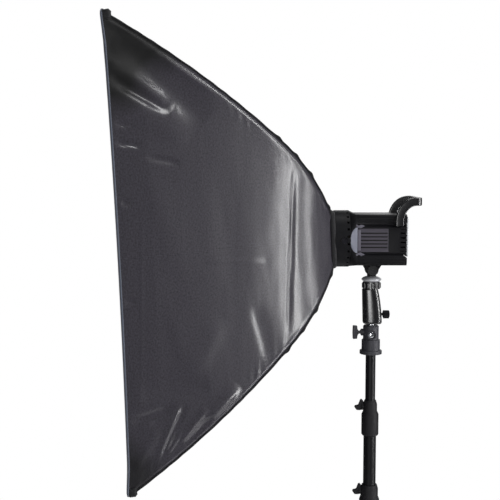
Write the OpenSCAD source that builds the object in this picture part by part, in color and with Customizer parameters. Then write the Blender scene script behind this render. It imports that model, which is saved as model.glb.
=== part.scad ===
// Studio lamp with a rectangular soft box, on a three-legged stand.
// Origin: the stand's axis on the floor. The soft box faces -X. Millimetres.

/* [Soft box] */
// Height of the soft box at its front
box_h = 914; // [760:1:1098]
// Width of the soft box at its front
box_w = 610; // [508:1:732]
// Depth from the speed ring to the front edge
box_depth = 432; // [364:1:526]
// How far the front droops below level, degrees
box_droop = 2.5; // [0:0.5:4]
// Diameter of the four steel rods
rod_d = 4; // [3:0.5:5]
// Thickness of the cover panels
cover_t = 3; // [2:0.5:4]
// Depth of the hem round the front
hem_w = 16; // [12:1:24]
// Depth at which the inner diffuser hangs
inner_depth = 210; // [160:5:260]

/* [Lamp] */
// Side of the square lamp body
body_side = 110; // [102:1:132]
// Length of the lamp body
body_len = 108; // [98:1:130]
// Outside diameter of the front ring
ring_d = 124; // [116:1:149]
// Length of the front ring
ring_len = 32; // [28:1:40]
// Thickness of the casing wall
casing_wall = 5; // [4:0.5:7]
// Outer radius of the bent handle arms
handle_r = 52; // [46:1:62]

/* [Tilt and pan head] */
// Diameter of the tilt bolt
bolt_d = 8; // [6:0.5:10]
// Height of the grip
grip_h = 77; // [64:1:93]
// Diameter of the spigot
spigot_d = 16; // [13:0.1:19.5]
// Outside diameter of the head casting
casting_d = 34.5; // [30:0.1:41.5]

/* [Stand] */
// Outside diameter of the top tube
top_d = 22; // [18:0.1:27]
// Wall of the three tubes
tube_wall = 1.2; // [1:0.1:1.6]
// Space all round between a tube and the one inside it
tube_play = 1.8; // [1.5:0.1:2.2]
// Length of the lower tube
low_len = 586; // [570:1:704]
// Length of the middle tube and of the top tube
slide_len = 560; // [466:1:580]
// Length of the middle tube that stands out
mid_out = 113; // [94:1:136]
// Length of the top tube that stands out
top_out = 105; // [88:1:126]
// Length of a leg from its pivot to its foot
leg_len = 580; // [483:1:640]
// Angle of an open leg from upright
leg_angle = 40; // [34:1:46]

/* [Hidden] */
$fn = 48;
run_fit = 0.05;     // radial clearance of everything that turns or slides on its pin
gap = 0.5;          // space between faces of pieces that move apart
black = "#17171a";
chrome = "#c9ccd0";
grey = "#8b8f94";
rubber = "#1d1d1f";
nylon = "#3d3a42";
white = "#f2f1ec";

// ---- stand, from the floor up ----
mid_d = top_d + 2 * (tube_wall + tube_play);
low_d = mid_d + 2 * (tube_wall + tube_play);
hub_z = 50;
hub_h = 16;
hub_r = low_d / 2 + 11;
low_z0 = hub_z + 6;
low_z1 = low_z0 + low_len;
low_collar_h = 85;
collar_seat = 30;                           // depth of a tube's seat in the collar on its end
low_collar_z = low_z1 - collar_seat;
mid_collar_h = 79;
mid_collar_z = low_collar_z + low_collar_h + mid_out;
mid_z1 = mid_collar_z + collar_seat;
flange_h = 8;
sleeve_h = 24;
casting_h = 32;
flange_z = mid_collar_z + mid_collar_h + top_out;
sleeve_z = flange_z + flange_h;
casting_z = sleeve_z + sleeve_h;
sleeve_d = casting_d + 6;
flange_d = sleeve_d + 8.5;
head_seat = 18;                             // depth of the top tube in the head sleeve
top_z1 = flange_z + head_seat;
spigot_show = 4;
grip_z = casting_z + casting_h + spigot_show;
lock_z = grip_z + grip_h;
lock_h = 15.6;
disc_z = lock_z + lock_h;
disc_h = 12.8;
disc_d = 46;
tilt_r = bolt_d / 2 + 10;
tongue_r = bolt_d / 2 + 5;
tilt_z = disc_z + disc_h + tilt_r + 0.6;
neck_h = 13;                                // from the tilt axis up to the lamp body
lamp_z = tilt_z + neck_h + body_side / 2;

// ---- legs ----
leg_az = [180, 300, 60];
leg_w = 18;
leg_t = 12;
leg_pivot_r = low_d / 2 + 23;
foot_drop = 12;
leg_pivot_z = foot_drop + leg_len * cos(leg_angle);
leg_collar_r = low_d / 2 + 8;
brace_at = 0.4224 * leg_len;                // along the leg, from its pivot
hub_pivot_r = low_d / 2 + 5;
hub_pivot_z = hub_z + hub_h + 9;
knee = [leg_pivot_r + brace_at * sin(leg_angle), leg_pivot_z - brace_at * cos(leg_angle)];
brace_run = [knee[0] - hub_pivot_r, knee[1] - hub_pivot_z];
brace_len = norm(brace_run);
brace_angle = atan2(brace_run[0], brace_run[1]);
brace_w = 14;
brace_t = 3;
brace_y = leg_w / 2 + 1;                    // inner face of a brace bar
pin_d = 6;
lug_t = 4;

// ---- knobs ----
stem_d = 6;
boss_d = 14;
star_d = 22;
star_h = 11;

// ---- lamp ----
body_x0 = -39;
body_x1 = body_x0 + body_len;
corner_r = 9;
fin_count = 5;
fin_pitch = 10;
fin_t = 7;
fin_len = 14;
casing_x1 = body_x1 - fin_len;
mid_half = 24;                              // half height of the ribbed middle zone
groove_z = 31;
groove_side = 5;
notch_h = 14;
notch_len = 8;
shoulder = 13;
ring_x1 = body_x0 - shoulder;
ring_x0 = ring_x1 - ring_len;
ring_bore = ring_d - 20;
slot_count = 24;
panel_len = 66;
panel_h = 50;
panel_t = 2.5;
rib_pitch = 7.6;
lock_x = ring_x1 - 6;
back_t = 3;
back_h = 86;
back_w = 98;
back_rise = 7;
handle_w = 18;
handle_t = 10;
handle_cz = 40;
handle_cx = body_x1 + 21;
cheek_in = 8;
cheek_t = 6;
tilt_knob_d = 24;
cavity_x0 = body_x0 + 3;
cavity_x1 = casing_x1 - 4;
fan_side = 80;
fan_h = 15;
fan_x = cavity_x1 - fan_h;
fan_bore = 74;
socket_d = 50;
socket_x = body_x0 + 8;
switch_y = 26;
inlet_y = -22;

// ---- soft box: local X is up, local Z runs forward from the speed ring ----
box_x = ring_x0 - 6;
plate_half = 56;
plate_z0 = -2;
plate_h = 8;
sleeve_len = 32;
sleeve_od = ring_bore - 6;
sleeve_id = sleeve_od - 8;
socket_od = 9;
socket_len = 22;
socket_play = 0.6;                          // lets the bent rod lie in its straight socket
cover_gap = 5.8;                            // from a rod's centre line to the cover's inside
rod_x0 = 56;
rod_y0 = 56;
rod_z0 = plate_z0 + plate_h + 3;
hem_z = box_depth - hem_w;
hem_t = 6;
boot_side = 26;
tip_inset = 5.5;
tip_z = hem_z + 9;
rise_x = box_h / 2 - tip_inset - rod_x0;
rise_y = box_w / 2 - tip_inset - rod_y0;
rise = norm([rise_x, rise_y]);
run = tip_z - rod_z0;
rod_turn = atan2(rise_y, rise_x);
straight_a = atan2(rise, run);
// a rod leaves its socket steeply, bends tightly, then gently, as two tangent arcs
root_a = straight_a + 24.6;
mid_a = straight_a + 0.6;
tip_a = straight_a - 12.4;
sin_1 = sin(root_a) - sin(mid_a);
sin_2 = sin(mid_a) - sin(tip_a);
cos_1 = cos(mid_a) - cos(root_a);
cos_2 = cos(tip_a) - cos(mid_a);
arc_det = sin_1 * cos_2 - sin_2 * cos_1;
arc_r1 = (run * cos_2 - sin_2 * rise) / arc_det;
arc_r2 = (sin_1 * rise - cos_1 * run) / arc_det;
arc_c1 = [rod_z0 + arc_r1 * sin(root_a), -arc_r1 * cos(root_a)];
arc_c2 = arc_c1 + (arc_r1 - arc_r2) * [-sin(mid_a), cos(mid_a)];
rod_gap = 0.5;                              // wall inside a ferrule, between the two rod lengths
ferrule_len = 24;
ferrule_wall = 1.25;
root_steps = 6;
tip_steps = 10;

// Point [forward, outward] on the rod's curve pushed out by off, where its slope is a
function curve_point(a, off) = a >= mid_a
    ? arc_c1 + (arc_r1 + off) * [-sin(a), cos(a)]
    : arc_c2 + (arc_r2 + off) * [-sin(a), cos(a)];
// Slope at which the pushed-out curve reaches a given depth on its gentle stretch
function slope_at(z, off) = asin((arc_c2[0] - z) / (arc_r2 + off));
function cover_slopes(off) = concat(
    [for (i = [0:root_steps]) root_a + (mid_a - root_a) * i / root_steps],
    [for (i = [1:tip_steps]) mid_a + (slope_at(hem_z, off) - mid_a) * i / tip_steps]);
function cover_curve(off) = [for (a = cover_slopes(off)) curve_point(a, off)];

module in_box() translate([box_x, 0, lamp_z]) rotate([0, -90 - box_droop, 0]) children();
module in_lamp() translate([0, 0, lamp_z]) children();
// Local Z points outward at azimuth az and height z
module outward(az, z) translate([0, 0, z]) rotate([0, 0, az]) rotate([0, 90, 0]) children();
// Local Z points along +X
module along_x(x) translate([x, 0, 0]) rotate([0, 90, 0]) children();
// Local Z points along +Y
module along_y(y) translate([0, y, 0]) rotate([-90, 0, 0]) children();

module tube(d, wall, h) difference() {
    cylinder(d = d, h = h);
    translate([0, 0, -1]) cylinder(d = d - 2 * wall, h = h + 2);
}

module rounded_square(w, h, r) union() {
    square([w - 2 * r, h], center = true);
    square([w, h - 2 * r], center = true);
    for (x = [-1, 1], y = [-1, 1])
        translate([x * (w / 2 - r), y * (h / 2 - r)]) circle(r = r);
}

// Lobed knob whose stem reaches inward from z = 0
module star_knob(d, h, lobes, stem) union() {
    cylinder(d = d * 0.62, h = h);
    for (i = [0:lobes - 1])
        rotate([0, 0, i * 360 / lobes]) translate([d * 0.33, 0, 1]) cylinder(d = d * 0.34, h = h - 2);
    translate([0, 0, -stem]) cylinder(d = stem_d, h = stem + 1);
}

// ================= stand =================

module lower_tube() color(grey) translate([0, 0, low_z0]) tube(low_d, tube_wall, low_len);

module base_hub() color(black) union() {
    difference() {
        translate([0, 0, hub_z]) cylinder(r = hub_r, h = hub_h);
        translate([0, 0, low_z0]) cylinder(d = low_d, h = hub_h);
    }
    for (az = leg_az)
        rotate([0, 0, az]) difference() {
            union() {
                translate([low_d / 2 + 0.4, -leg_w / 2, hub_z + hub_h - 1])
                    cube([hub_r - low_d / 2 - 1, leg_w, hub_pivot_z - hub_z - hub_h + 1]);
                translate([hub_pivot_r + 0.4, 0, hub_pivot_z]) along_y(-leg_w / 2) cylinder(r = 5, h = leg_w);
            }
            translate([hub_pivot_r, 0, hub_pivot_z]) along_y(-leg_w) cylinder(d = pin_d, h = 2 * leg_w);
        }
}

module hub_pins() color(chrome) for (az = leg_az)
    rotate([0, 0, az]) translate([hub_pivot_r, 0, hub_pivot_z])
        along_y(-brace_y - brace_t - 1) cylinder(d = pin_d, h = 2 * (brace_y + brace_t + 1));

// Collar: a seat of diameter seat_d below, a running bore for bore_d above
module collar(h, seat_d, bore_d, wide, waist, boss_z) difference() {
    union() {
        rotate_extrude() polygon([[0, 0], [wide / 2 - 2, 0], [wide / 2, 3], [wide / 2, h * 0.6],
            [waist / 2, h * 0.7], [waist / 2, h - 9], [waist / 2 - 2.5, h], [0, h]]);
        outward(180, boss_z) cylinder(d = boss_d, h = waist / 2 + 4);
    }
    translate([0, 0, -1]) cylinder(d = seat_d, h = collar_seat + 1);
    translate([0, 0, -1]) cylinder(d = bore_d + 2 * run_fit, h = h + 2);
    outward(180, boss_z) cylinder(d = stem_d + 2 * run_fit, h = wide);
}

module collar_knob(waist, bore_d) outward(180, 0) translate([0, 0, waist / 2 + 4 + gap])
    star_knob(star_d, star_h, 3, waist / 2 + 4 + gap - bore_d / 2 - 0.4);

low_waist = low_d + 5;
mid_waist = mid_d + 3;
low_boss_z = low_collar_h - 15;
mid_boss_z = mid_collar_h - 15;

module lower_collar() color(black) translate([0, 0, low_collar_z])
    collar(low_collar_h, low_d, mid_d, low_d + 11, low_waist, low_boss_z);

module lower_collar_knob() color(rubber) translate([0, 0, low_collar_z + low_boss_z])
    collar_knob(low_waist, mid_d);

module leg_collar() color(black) translate([0, 0, leg_pivot_z]) difference() {
    union() {
        translate([0, 0, -14]) cylinder(r = leg_collar_r, h = 44);
        for (az = leg_az)
            rotate([0, 0, az]) for (s = [-1, 1]) {
                translate([low_d / 2 + 1, s * (leg_w / 2 + gap + lug_t / 2) - lug_t / 2, -10])
                    cube([leg_pivot_r - low_d / 2 - 1, lug_t, 20]);
                translate([leg_pivot_r, 0, 0]) along_y(s * (leg_w / 2 + gap + lug_t / 2) - lug_t / 2)
                    cylinder(r = 10, h = lug_t);
            }
        outward(0, 20) cylinder(d = boss_d, h = leg_collar_r + 4);
    }
    translate([0, 0, -20]) cylinder(d = low_d + 2 * run_fit, h = 60);
    for (az = leg_az)
        rotate([0, 0, az]) translate([leg_pivot_r, 0, 0]) along_y(-30) cylinder(d = pin_d, h = 60);
    outward(0, 20) cylinder(d = stem_d + 2 * run_fit, h = 2 * leg_collar_r);
}

module leg_pins() color(chrome) for (az = leg_az)
    rotate([0, 0, az]) translate([leg_pivot_r, 0, leg_pivot_z])
        along_y(-leg_w / 2 - gap - lug_t) cylinder(d = pin_d, h = leg_w + 2 * (gap + lug_t));

module leg_collar_knob() color(rubber) outward(0, leg_pivot_z + 20)
    translate([0, 0, leg_collar_r + 4 + gap])
        star_knob(star_d, star_h, 3, leg_collar_r + 4 + gap - low_d / 2 - 0.4);

// Local frame on a leg: origin at its pivot, local Z down along the leg
module on_leg(az) rotate([0, 0, az]) translate([leg_pivot_r, 0, leg_pivot_z])
    rotate([0, 180 - leg_angle, 0]) children();

module leg(az) color(black) on_leg(az) difference() {
    union() {
        translate([-leg_t / 2, -leg_w / 2, 0]) cube([leg_t, leg_w, leg_len]);
        along_y(-leg_w / 2) cylinder(r = 8, h = leg_w);
    }
    translate([-leg_t / 2 + 1.5, -leg_w / 2 + 1.5, 18]) cube([leg_t - 3, leg_w - 3, leg_len]);
    along_y(-leg_w) cylinder(d = pin_d + 2 * run_fit, h = 2 * leg_w);
}

module foot(az) color(rubber) difference() {
    on_leg(az) difference() {
        union() {
            translate([0, 0, leg_len - 34]) cylinder(d = 27, h = 34);
            translate([0, 0, leg_len]) sphere(d = 27);
        }
        translate([-leg_t / 2, -leg_w / 2, 0]) cube([leg_t, leg_w, leg_len]);
    }
    translate([-2000, -2000, -100]) cube([4000, 4000, 100]);
}

// Two flat bars that straddle the leg, each with its own rivet head on the outside
module brace(az) color(chrome) rotate([0, 0, az]) translate([hub_pivot_r, 0, hub_pivot_z])
    rotate([0, brace_angle, 0]) for (s = [-1, 1]) difference() {
        union() {
            translate([-brace_w / 2, s * (brace_y + brace_t / 2) - brace_t / 2, 0])
                cube([brace_w, brace_t, brace_len]);
            for (z = [0, brace_len])
                translate([0, 0, z]) along_y(s * (brace_y + brace_t / 2) - brace_t / 2)
                    cylinder(d = brace_w, h = brace_t);
            translate([0, 0, brace_len]) along_y(s * (brace_y + brace_t + 1) - 1.5)
                cylinder(d = 9, h = 3);
        }
        along_y(-30) cylinder(d = pin_d + 2 * run_fit, h = 60);
    }

module mid_tube() color(grey) translate([0, 0, mid_z1 - slide_len]) tube(mid_d, tube_wall, slide_len);

module upper_collar() color(black) translate([0, 0, mid_collar_z])
    collar(mid_collar_h, mid_d, top_d, mid_d + 10, mid_waist, mid_boss_z);

module upper_collar_knob() color(rubber) translate([0, 0, mid_collar_z + mid_boss_z])
    collar_knob(mid_waist, top_d);

module top_tube() color(grey) translate([0, 0, top_z1 - slide_len]) tube(top_d, tube_wall, slide_len);

module head_sleeve() color(black) translate([0, 0, flange_z]) difference() {
    union() {
        cylinder(d = flange_d, h = flange_h);
        cylinder(d = sleeve_d, h = flange_h + sleeve_h);
    }
    translate([0, 0, -1]) cylinder(d = top_d, h = head_seat + 1);
    translate([0, 0, head_seat + 4]) cylinder(d = spigot_d, h = sleeve_h);
}

window_z = casting_h * 0.38;
knob_z = casting_h * 0.5;

module head_casting() color("#2b2c2f") translate([0, 0, casting_z]) difference() {
    union() {
        cylinder(d = casting_d, h = casting_h - 2);
        translate([0, 0, casting_h - 2]) cylinder(d = casting_d - 4, h = 2);
        outward(270, window_z) cylinder(d = 19, h = casting_d / 2 + 1.5);
        outward(180, knob_z) cylinder(d = boss_d, h = casting_d / 2 + 3);
    }
    translate([0, 0, -1]) cylinder(d = spigot_d, h = casting_h + 2);
    outward(270, window_z) cylinder(d = 13, h = casting_d);
    outward(180, knob_z) cylinder(d = stem_d + 2 * run_fit, h = casting_d);
}

module spigot() color(chrome) translate([0, 0, flange_z + head_seat + 4])
    cylinder(d = spigot_d, h = grip_z + grip_h - 20 - flange_z - head_seat - 4);

module head_t_knob() color(rubber) outward(180, casting_z + knob_z) {
    reach = casting_d / 2 + 3 + gap;
    translate([0, 0, spigot_d / 2 + 0.4]) cylinder(d = stem_d, h = reach - spigot_d / 2 + 3);
    translate([0, 0, reach]) cylinder(d = 11, h = 6);
    translate([-14, 0, reach + 10]) rotate([0, 90, 0]) cylinder(d = 10, h = 28);
    for (x = [-14, 14]) translate([x, 0, reach + 10]) sphere(d = 10);
}

// ================= tilt and pan head =================

grip_top_d = 35;
grip_low_d = 42;
grip_lean = 3;

module grip() color(black) difference() {
    hull() {
        translate([-2, 0, lock_z - 2]) cylinder(d = grip_top_d, h = 2);
        translate([grip_lean, 0, grip_z + grip_h * 0.4]) cylinder(d = grip_low_d - 1, h = 8);
        translate([1, 0, grip_z]) cylinder(d = grip_low_d - 2, h = 2);
        translate([1, 0, grip_z + 2]) cylinder(d = grip_low_d, h = 8);
    }
    translate([0, 0, grip_z - 1]) cylinder(d = spigot_d + 2 * run_fit, h = grip_h - 18);
    outward(0, grip_z + 20) cylinder(d = stem_d + 2 * run_fit, h = grip_low_d);
}

module grip_knob() color(rubber) outward(0, grip_z + 20)
    translate([0, 0, grip_low_d / 2 + grip_lean + gap + 1])
        star_knob(19, 15, 5, grip_low_d / 2 + grip_lean + gap + 1 - spigot_d / 2 - 0.4);

lock_core = 18;

module lock_ring() color(rubber) translate([0, 0, lock_z + gap / 2]) difference() {
    union() {
        cylinder(d = 38, h = lock_h - gap);
        for (i = [0:11]) rotate([0, 0, i * 30]) translate([17.5, 0, 2]) cylinder(d = 7, h = lock_h - gap - 4);
    }
    translate([0, 0, -1]) cylinder(d = lock_core + 2 * run_fit, h = lock_h + 2);
}

// Lens-shaped disc on a core that the lock ring turns on
module tension_disc() color(chrome) union() {
    lens_r = (pow(disc_d / 2, 2) + pow(disc_h / 2, 2)) / disc_h;
    translate([0, 0, disc_z + disc_h / 2]) intersection() {
        translate([0, 0, lens_r - disc_h / 2]) sphere(r = lens_r, $fn = 96);
        translate([0, 0, disc_h / 2 - lens_r]) sphere(r = lens_r, $fn = 96);
        cylinder(d = disc_d - 2, h = disc_h, center = true);
    }
    translate([0, 0, lock_z]) cylinder(d = lock_core, h = lock_h + 2);
}

module tilt_tongue() color(black) difference() {
    union() {
        translate([0, 0, tilt_z]) along_y(-cheek_in + gap / 2) cylinder(r = tongue_r, h = 2 * cheek_in - gap);
        translate([-9, -cheek_in + gap / 2, disc_z + disc_h - 0.8])
            cube([18, 2 * cheek_in - gap, tilt_z - disc_z - disc_h]);
    }
    translate([0, 0, tilt_z]) along_y(-20) cylinder(d = bolt_d, h = 40);
    tension_disc();
}

bolt_end = cheek_in + cheek_t;

module tilt_bolt() color(chrome) translate([0, 0, tilt_z]) union() {
    along_y(-bolt_end - 13) cylinder(d = bolt_d, h = 2 * bolt_end + 14);
    along_y(bolt_end + gap) cylinder(d = 15, h = 6, $fn = 6);
}

module tilt_knob() color(rubber) translate([0, 0, tilt_z]) difference() {
    union() {
        along_y(-bolt_end - gap - 15) cylinder(d = tilt_knob_d - 3, h = 15);
        for (i = [0:11]) rotate([0, i * 30, 0]) translate([tilt_knob_d / 2 - 2, 0, 0])
            along_y(-bolt_end - gap - 13) cylinder(d = 4, h = 11);
    }
    along_y(-bolt_end - gap - 13) cylinder(d = bolt_d + 2 * run_fit, h = 20);
}

// ================= lamp =================

pad_h = 3;

module tilt_cheeks() color(black) translate([0, 0, tilt_z]) union() {
    for (s = [-1, 1]) difference() {
        union() {
            along_y(s * (cheek_in + cheek_t / 2) - cheek_t / 2) cylinder(r = tilt_r, h = cheek_t);
            translate([0, s * (cheek_in + cheek_t / 2) + cheek_t / 2, 0]) rotate([90, 0, 0])
                linear_extrude(cheek_t)
                    polygon([[-tilt_r, 0], [-20, neck_h - pad_h], [20, neck_h - pad_h], [tilt_r, 0]]);
        }
        along_y(-30) cylinder(d = bolt_d + 2 * run_fit, h = 60);
        translate([-30, -30, neck_h - pad_h]) cube(60);
    }
    translate([-20, -bolt_end, neck_h - pad_h]) cube([40, 2 * bolt_end, pad_h]);
}

// Square lobed section that the casing is cut from
module casing_block(x0, x1, inset) translate([x0, 0, 0]) rotate([90, 0, 90])
    linear_extrude(x1 - x0) rounded_square(body_side - 2 * inset, body_side - 2 * inset, corner_r - inset / 2);

module lamp_body() color(black) in_lamp() difference() {
    union() {
        casing_block(body_x0, body_x1, 0);
        hull() {
            along_x(body_x0 - shoulder) cylinder(d = ring_d - 2, h = 1, $fn = 32);
            casing_block(body_x0, body_x0 + 1, 0, $fn = 32);
        }
    }
    casing_block(cavity_x0, cavity_x1, casing_wall);
    along_x(body_x0 - shoulder - 1) cylinder(d = ring_bore - 8, h = shoulder + 6);
    along_x(cavity_x1 - 1) cylinder(d = 42, h = 10);
    translate([casing_x1, -body_side, -mid_half]) cube([fin_len + 1, 2 * body_side, 2 * mid_half]);
    for (s = [-1, 1]) {
        translate([0, body_side, s * groove_z]) rotate([90, 0, 0]) linear_extrude(2 * body_side)
            polygon([[body_x1 - notch_len, 0], [body_x1 + 0.1, notch_h / 2], [body_x1 + 0.1, -notch_h / 2]]);
        for (t = [-1, 1]) {
            translate([(body_x0 + body_x1) / 2, t * body_side / 2, s * groove_z]) rotate([45, 0, 0])
                cube([body_len + 2, groove_side, groove_side], center = true);
        }
        translate([body_x0 + 2, s * body_side / 2 - 2, -panel_h / 2]) cube([panel_len, 4, panel_h]);
    }
}

module side_panels() color(grey) in_lamp() for (s = [-1, 1]) difference() {
    translate([body_x0 + 2, s * (body_side / 2 - 2 + panel_t / 2) - panel_t / 2, -panel_h / 2])
        cube([panel_len, panel_t, panel_h]);
    for (i = [-2:2]) translate([body_x0 + 4, s * (body_side / 2 - 2 + panel_t) - 1, i * rib_pitch - 0.8])
        cube([panel_len + 1, 2, 1.6]);
}

module front_ring() color(black) in_lamp() difference() {
    along_x(ring_x0) cylinder(d = ring_d, h = ring_len);
    along_x(ring_x0 - 1) cylinder(d = ring_bore, h = ring_len + 2);
    for (i = [0:slot_count - 1]) rotate([(i + 0.5) * 360 / slot_count, 0, 0])
        translate([ring_x1 - 7, ring_bore / 2 - 5, -2.5]) cube([5, 20, 5]);
    translate([lock_x - 8, 0, 0]) along_y(-ring_d) cylinder(d = 5 + 2 * run_fit, h = ring_d);
}

module ring_lock_screw() color(chrome) in_lamp() translate([lock_x - 8, 0, 0]) rotate([90, 0, 0]) {
    translate([0, 0, sleeve_od / 2 + 2.4]) cylinder(d = 5, h = ring_d / 2 - sleeve_od / 2 + 2);
    translate([0, 0, ring_d / 2 + gap]) cylinder(d = 13, h = 7);
}

module rear_fins() color(grey) in_lamp() union() {
    for (i = [0:fin_count - 1]) translate([0, 0, (i - (fin_count - 1) / 2) * fin_pitch]) {
        translate([casing_x1, -body_side / 2 + 2, -fin_t / 2])
            cube([fin_len - fin_t / 2, body_side - 4, fin_t]);
        translate([body_x1 - fin_t / 2, 0, 0]) along_y(-body_side / 2 + 2)
            cylinder(d = fin_t, h = body_side - 4);
    }
    for (s = [-1, 1]) translate([casing_x1, s * 30 - 2, -mid_half + 0.5])
        cube([fin_len - 4, 4, 2 * mid_half - 1]);
}

module rear_panel() color("#b9bbbd") in_lamp() difference() {
    translate([body_x1, 0, back_rise]) rotate([90, 0, 90])
        linear_extrude(back_t) rounded_square(back_w, back_h, 5);
    translate([body_x1 - 1, inlet_y - 14, -14]) cube([back_t + 2, 28, 20]);
    translate([body_x1 - 1, switch_y - 7, -15]) cube([back_t + 2, 14, 22]);
}

module power_inlet() color(black) in_lamp() translate([body_x1, inlet_y, -4]) difference() {
    translate([0, -14, -10]) cube([back_t + 2, 28, 20]);
    translate([1.5, -11, -7]) cube([back_t + 2, 22, 14]);
}

module power_switch() color(rubber) in_lamp() translate([body_x1 + back_t - 1, switch_y, -4])
    intersection() {
        translate([-12, 0, 0]) along_y(-6) cylinder(r = 15, h = 12);
        translate([-1, -6, -9]) cube([10, 12, 18]);
    }

// Bent arms outside the upper lobes, joined by a bar to hold
module handle() color(black) in_lamp() union() {
    for (s = [-1, 1])
        translate([handle_cx, s * (body_side / 2 + handle_t / 2) + handle_t / 2, handle_cz])
            rotate([90, 0, 0]) {
                rotate([0, 0, 90]) rotate_extrude(angle = 90)
                    translate([handle_r - handle_w, 0]) square([handle_w, handle_t]);
                translate([-handle_r, -1, 0]) cube([handle_w, 1, handle_t]);
            }
    translate([handle_cx, -body_side / 2 - handle_t, handle_cz + handle_r - handle_w])
        cube([10, body_side + 2 * handle_t, handle_w]);
}

module reflector() color(chrome) in_lamp() along_x(body_x0 - shoulder + 1) rotate_extrude()
    polygon([[ring_bore / 2 - 5, 0], [ring_bore / 2 - 7, 0], [socket_d / 2 - 2, 18], [socket_d / 2 - 2, 20],
        [socket_d / 2, 20], [ring_bore / 2 - 5, 2]]);

module lamp_socket() color(white) in_lamp() along_x(socket_x) difference() {
    cylinder(d = socket_d, h = 14);
    translate([0, 0, -1]) cylinder(d = 16, h = 8);
}

module flash_tube() color("#e9eef2") in_lamp() along_x(socket_x - 11) union() {
    rotate_extrude() translate([20, 0]) circle(d = 6);
    for (s = [-1, 1]) translate([0, s * 20, 0]) cylinder(d = 4, h = 11);
}

module modelling_bulb() color("#f6ead0") in_lamp() along_x(socket_x - 36) union() {
    sphere(d = 24);
    cylinder(d = 24, h = 16);
    translate([0, 0, 16]) cylinder(d = 16, h = 27);
}

module circuit_board() color("#2f6b45") in_lamp() union() {
    translate([cavity_x0 + 21, -42, -38]) cube([44, 84, 1.6]);
    for (y = [-24, 0, 24]) translate([cavity_x0 + 43, y, -36.6]) cylinder(d = 20, h = 30);
}

module fan_frame() color(rubber) in_lamp() difference() {
    translate([fan_x, -fan_side / 2, -fan_side / 2]) cube([fan_h, fan_side, fan_side]);
    difference() {
        along_x(fan_x - 1) cylinder(d = fan_bore, h = fan_h + 2);
        along_x(fan_x + fan_h - 3) cylinder(d = 26, h = 3);
        for (a = [0:3]) rotate([a * 90 + 45, 0, 0]) translate([fan_x + fan_h - 3, 0, -2])
            cube([3, fan_bore, 4]);
    }
    along_x(fan_x) cylinder(d = 5 + 2 * run_fit, h = fan_h + 1);
}

module fan_rotor() color(black) in_lamp() union() {
    along_x(fan_x + 1) cylinder(d = 30, h = fan_h - 5);
    along_x(fan_x + 2) cylinder(d = 5, h = fan_h - 2);
    for (i = [0:6]) rotate([i * 360 / 7, 0, 0]) translate([fan_x + (fan_h - 4) / 2 + 0.5, 0, 24])
        rotate([0, 0, 35]) cube([2, 12, 22], center = true);
}

// ================= soft box =================

// Plane of one rod: local X forward, local Y outward
module rod_plane(sx, sy) translate([sx * rod_x0, sy * rod_y0, 0])
    rotate([0, -90, (sx > 0 ? sy * rod_turn : 180 - sy * rod_turn) - 90]) children();

module rod_arc(centre, r, from, to, d) translate([centre[0], centre[1], 0])
    rotate([0, 0, 90 + to]) rotate_extrude(angle = from - to, $fn = 96) translate([r, 0]) circle(d = d, $fn = 16);

// Angle that a length along an arc of radius r turns through
function arc_turn(length, r) = length / r * 180 / PI;

module rod() {
    rod_arc(arc_c1, arc_r1, root_a, mid_a + arc_turn(rod_gap / 2, arc_r1), rod_d);
    rod_arc(arc_c2, arc_r2, mid_a - arc_turn(rod_gap / 2, arc_r2), tip_a, rod_d);
}

// Sleeve that joins the tight and the gentle length of a rod
module ferrule() difference() {
    joint = curve_point(mid_a, 0);
    translate([joint[0], joint[1], 0]) rotate([0, 0, mid_a]) rotate([0, 90, 0])
        cylinder(d = rod_d + 2 * ferrule_wall, h = ferrule_len, center = true);
    rod();
}

module rods() color(chrome) in_box() for (sx = [-1, 1], sy = [-1, 1]) rod_plane(sx, sy) {
    rod();
    ferrule();
}

module speed_ring() color(chrome) in_box() difference() {
    union() {
        translate([0, 0, plate_z0]) linear_extrude(plate_h)
            rounded_square(2 * plate_half, 2 * plate_half, 14);
        translate([0, 0, plate_z0 - sleeve_len]) cylinder(d = sleeve_od, h = sleeve_len + 1);
    }
    translate([0, 0, plate_z0 - sleeve_len - 1]) cylinder(d = sleeve_id, h = sleeve_len + plate_h + 2);
}

// Straight bar along the first stretch of a rod
module socket_bar(d, from, to) translate([rod_z0, 0, 0]) rotate([0, 0, root_a]) rotate([0, 90, 0])
    translate([0, 0, from]) cylinder(d = d, h = to - from);

module rod_sockets() color(black) in_box() for (sx = [-1, 1], sy = [-1, 1]) difference() {
    union() {
        rod_plane(sx, sy) socket_bar(socket_od, 0, socket_len);
        translate([sx * (rod_x0 - 7) - 7, sy * (rod_y0 - 7) - 7, plate_z0 + plate_h]) cube([14, 14, 6]);
    }
    rod_plane(sx, sy) socket_bar(rod_d + 2 * socket_play, -2, socket_len + 2);
    translate([-80, -80, plate_z0]) cube([160, 160, plate_h]);
}

// Closed panel between two rods: start_n and start_w are its start outward and sideways,
// share_n and share_w how much of the rods' spread goes each way
module cover(start_n, start_w, share_n, share_w) {
    inner = cover_curve(cover_gap);
    outer = cover_curve(cover_gap + cover_t);
    rows = len(inner);
    function corner(p, s) = [start_n + p[1] * share_n, s * (start_w + p[1] * share_w), p[0]];
    points = [for (i = [0:rows - 1]) for (p = [[inner, -1], [inner, 1], [outer, 1], [outer, -1]])
        corner(p[0][i], p[1])];
    sides = [for (i = [0:rows - 2]) for (j = [0:3]) let (k = (j + 1) % 4)
        [4 * i + j, 4 * i + k, 4 * i + 4 + k, 4 * i + 4 + j]];
    polyhedron(points, concat([[3, 2, 1, 0]], sides, [[for (j = [0:3]) 4 * (rows - 1) + j]]));
}

module tall_cover() cover(rod_x0, rod_y0, cos(rod_turn), sin(rod_turn));
module wide_cover() cover(rod_y0, rod_x0, sin(rod_turn), cos(rod_turn));

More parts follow.
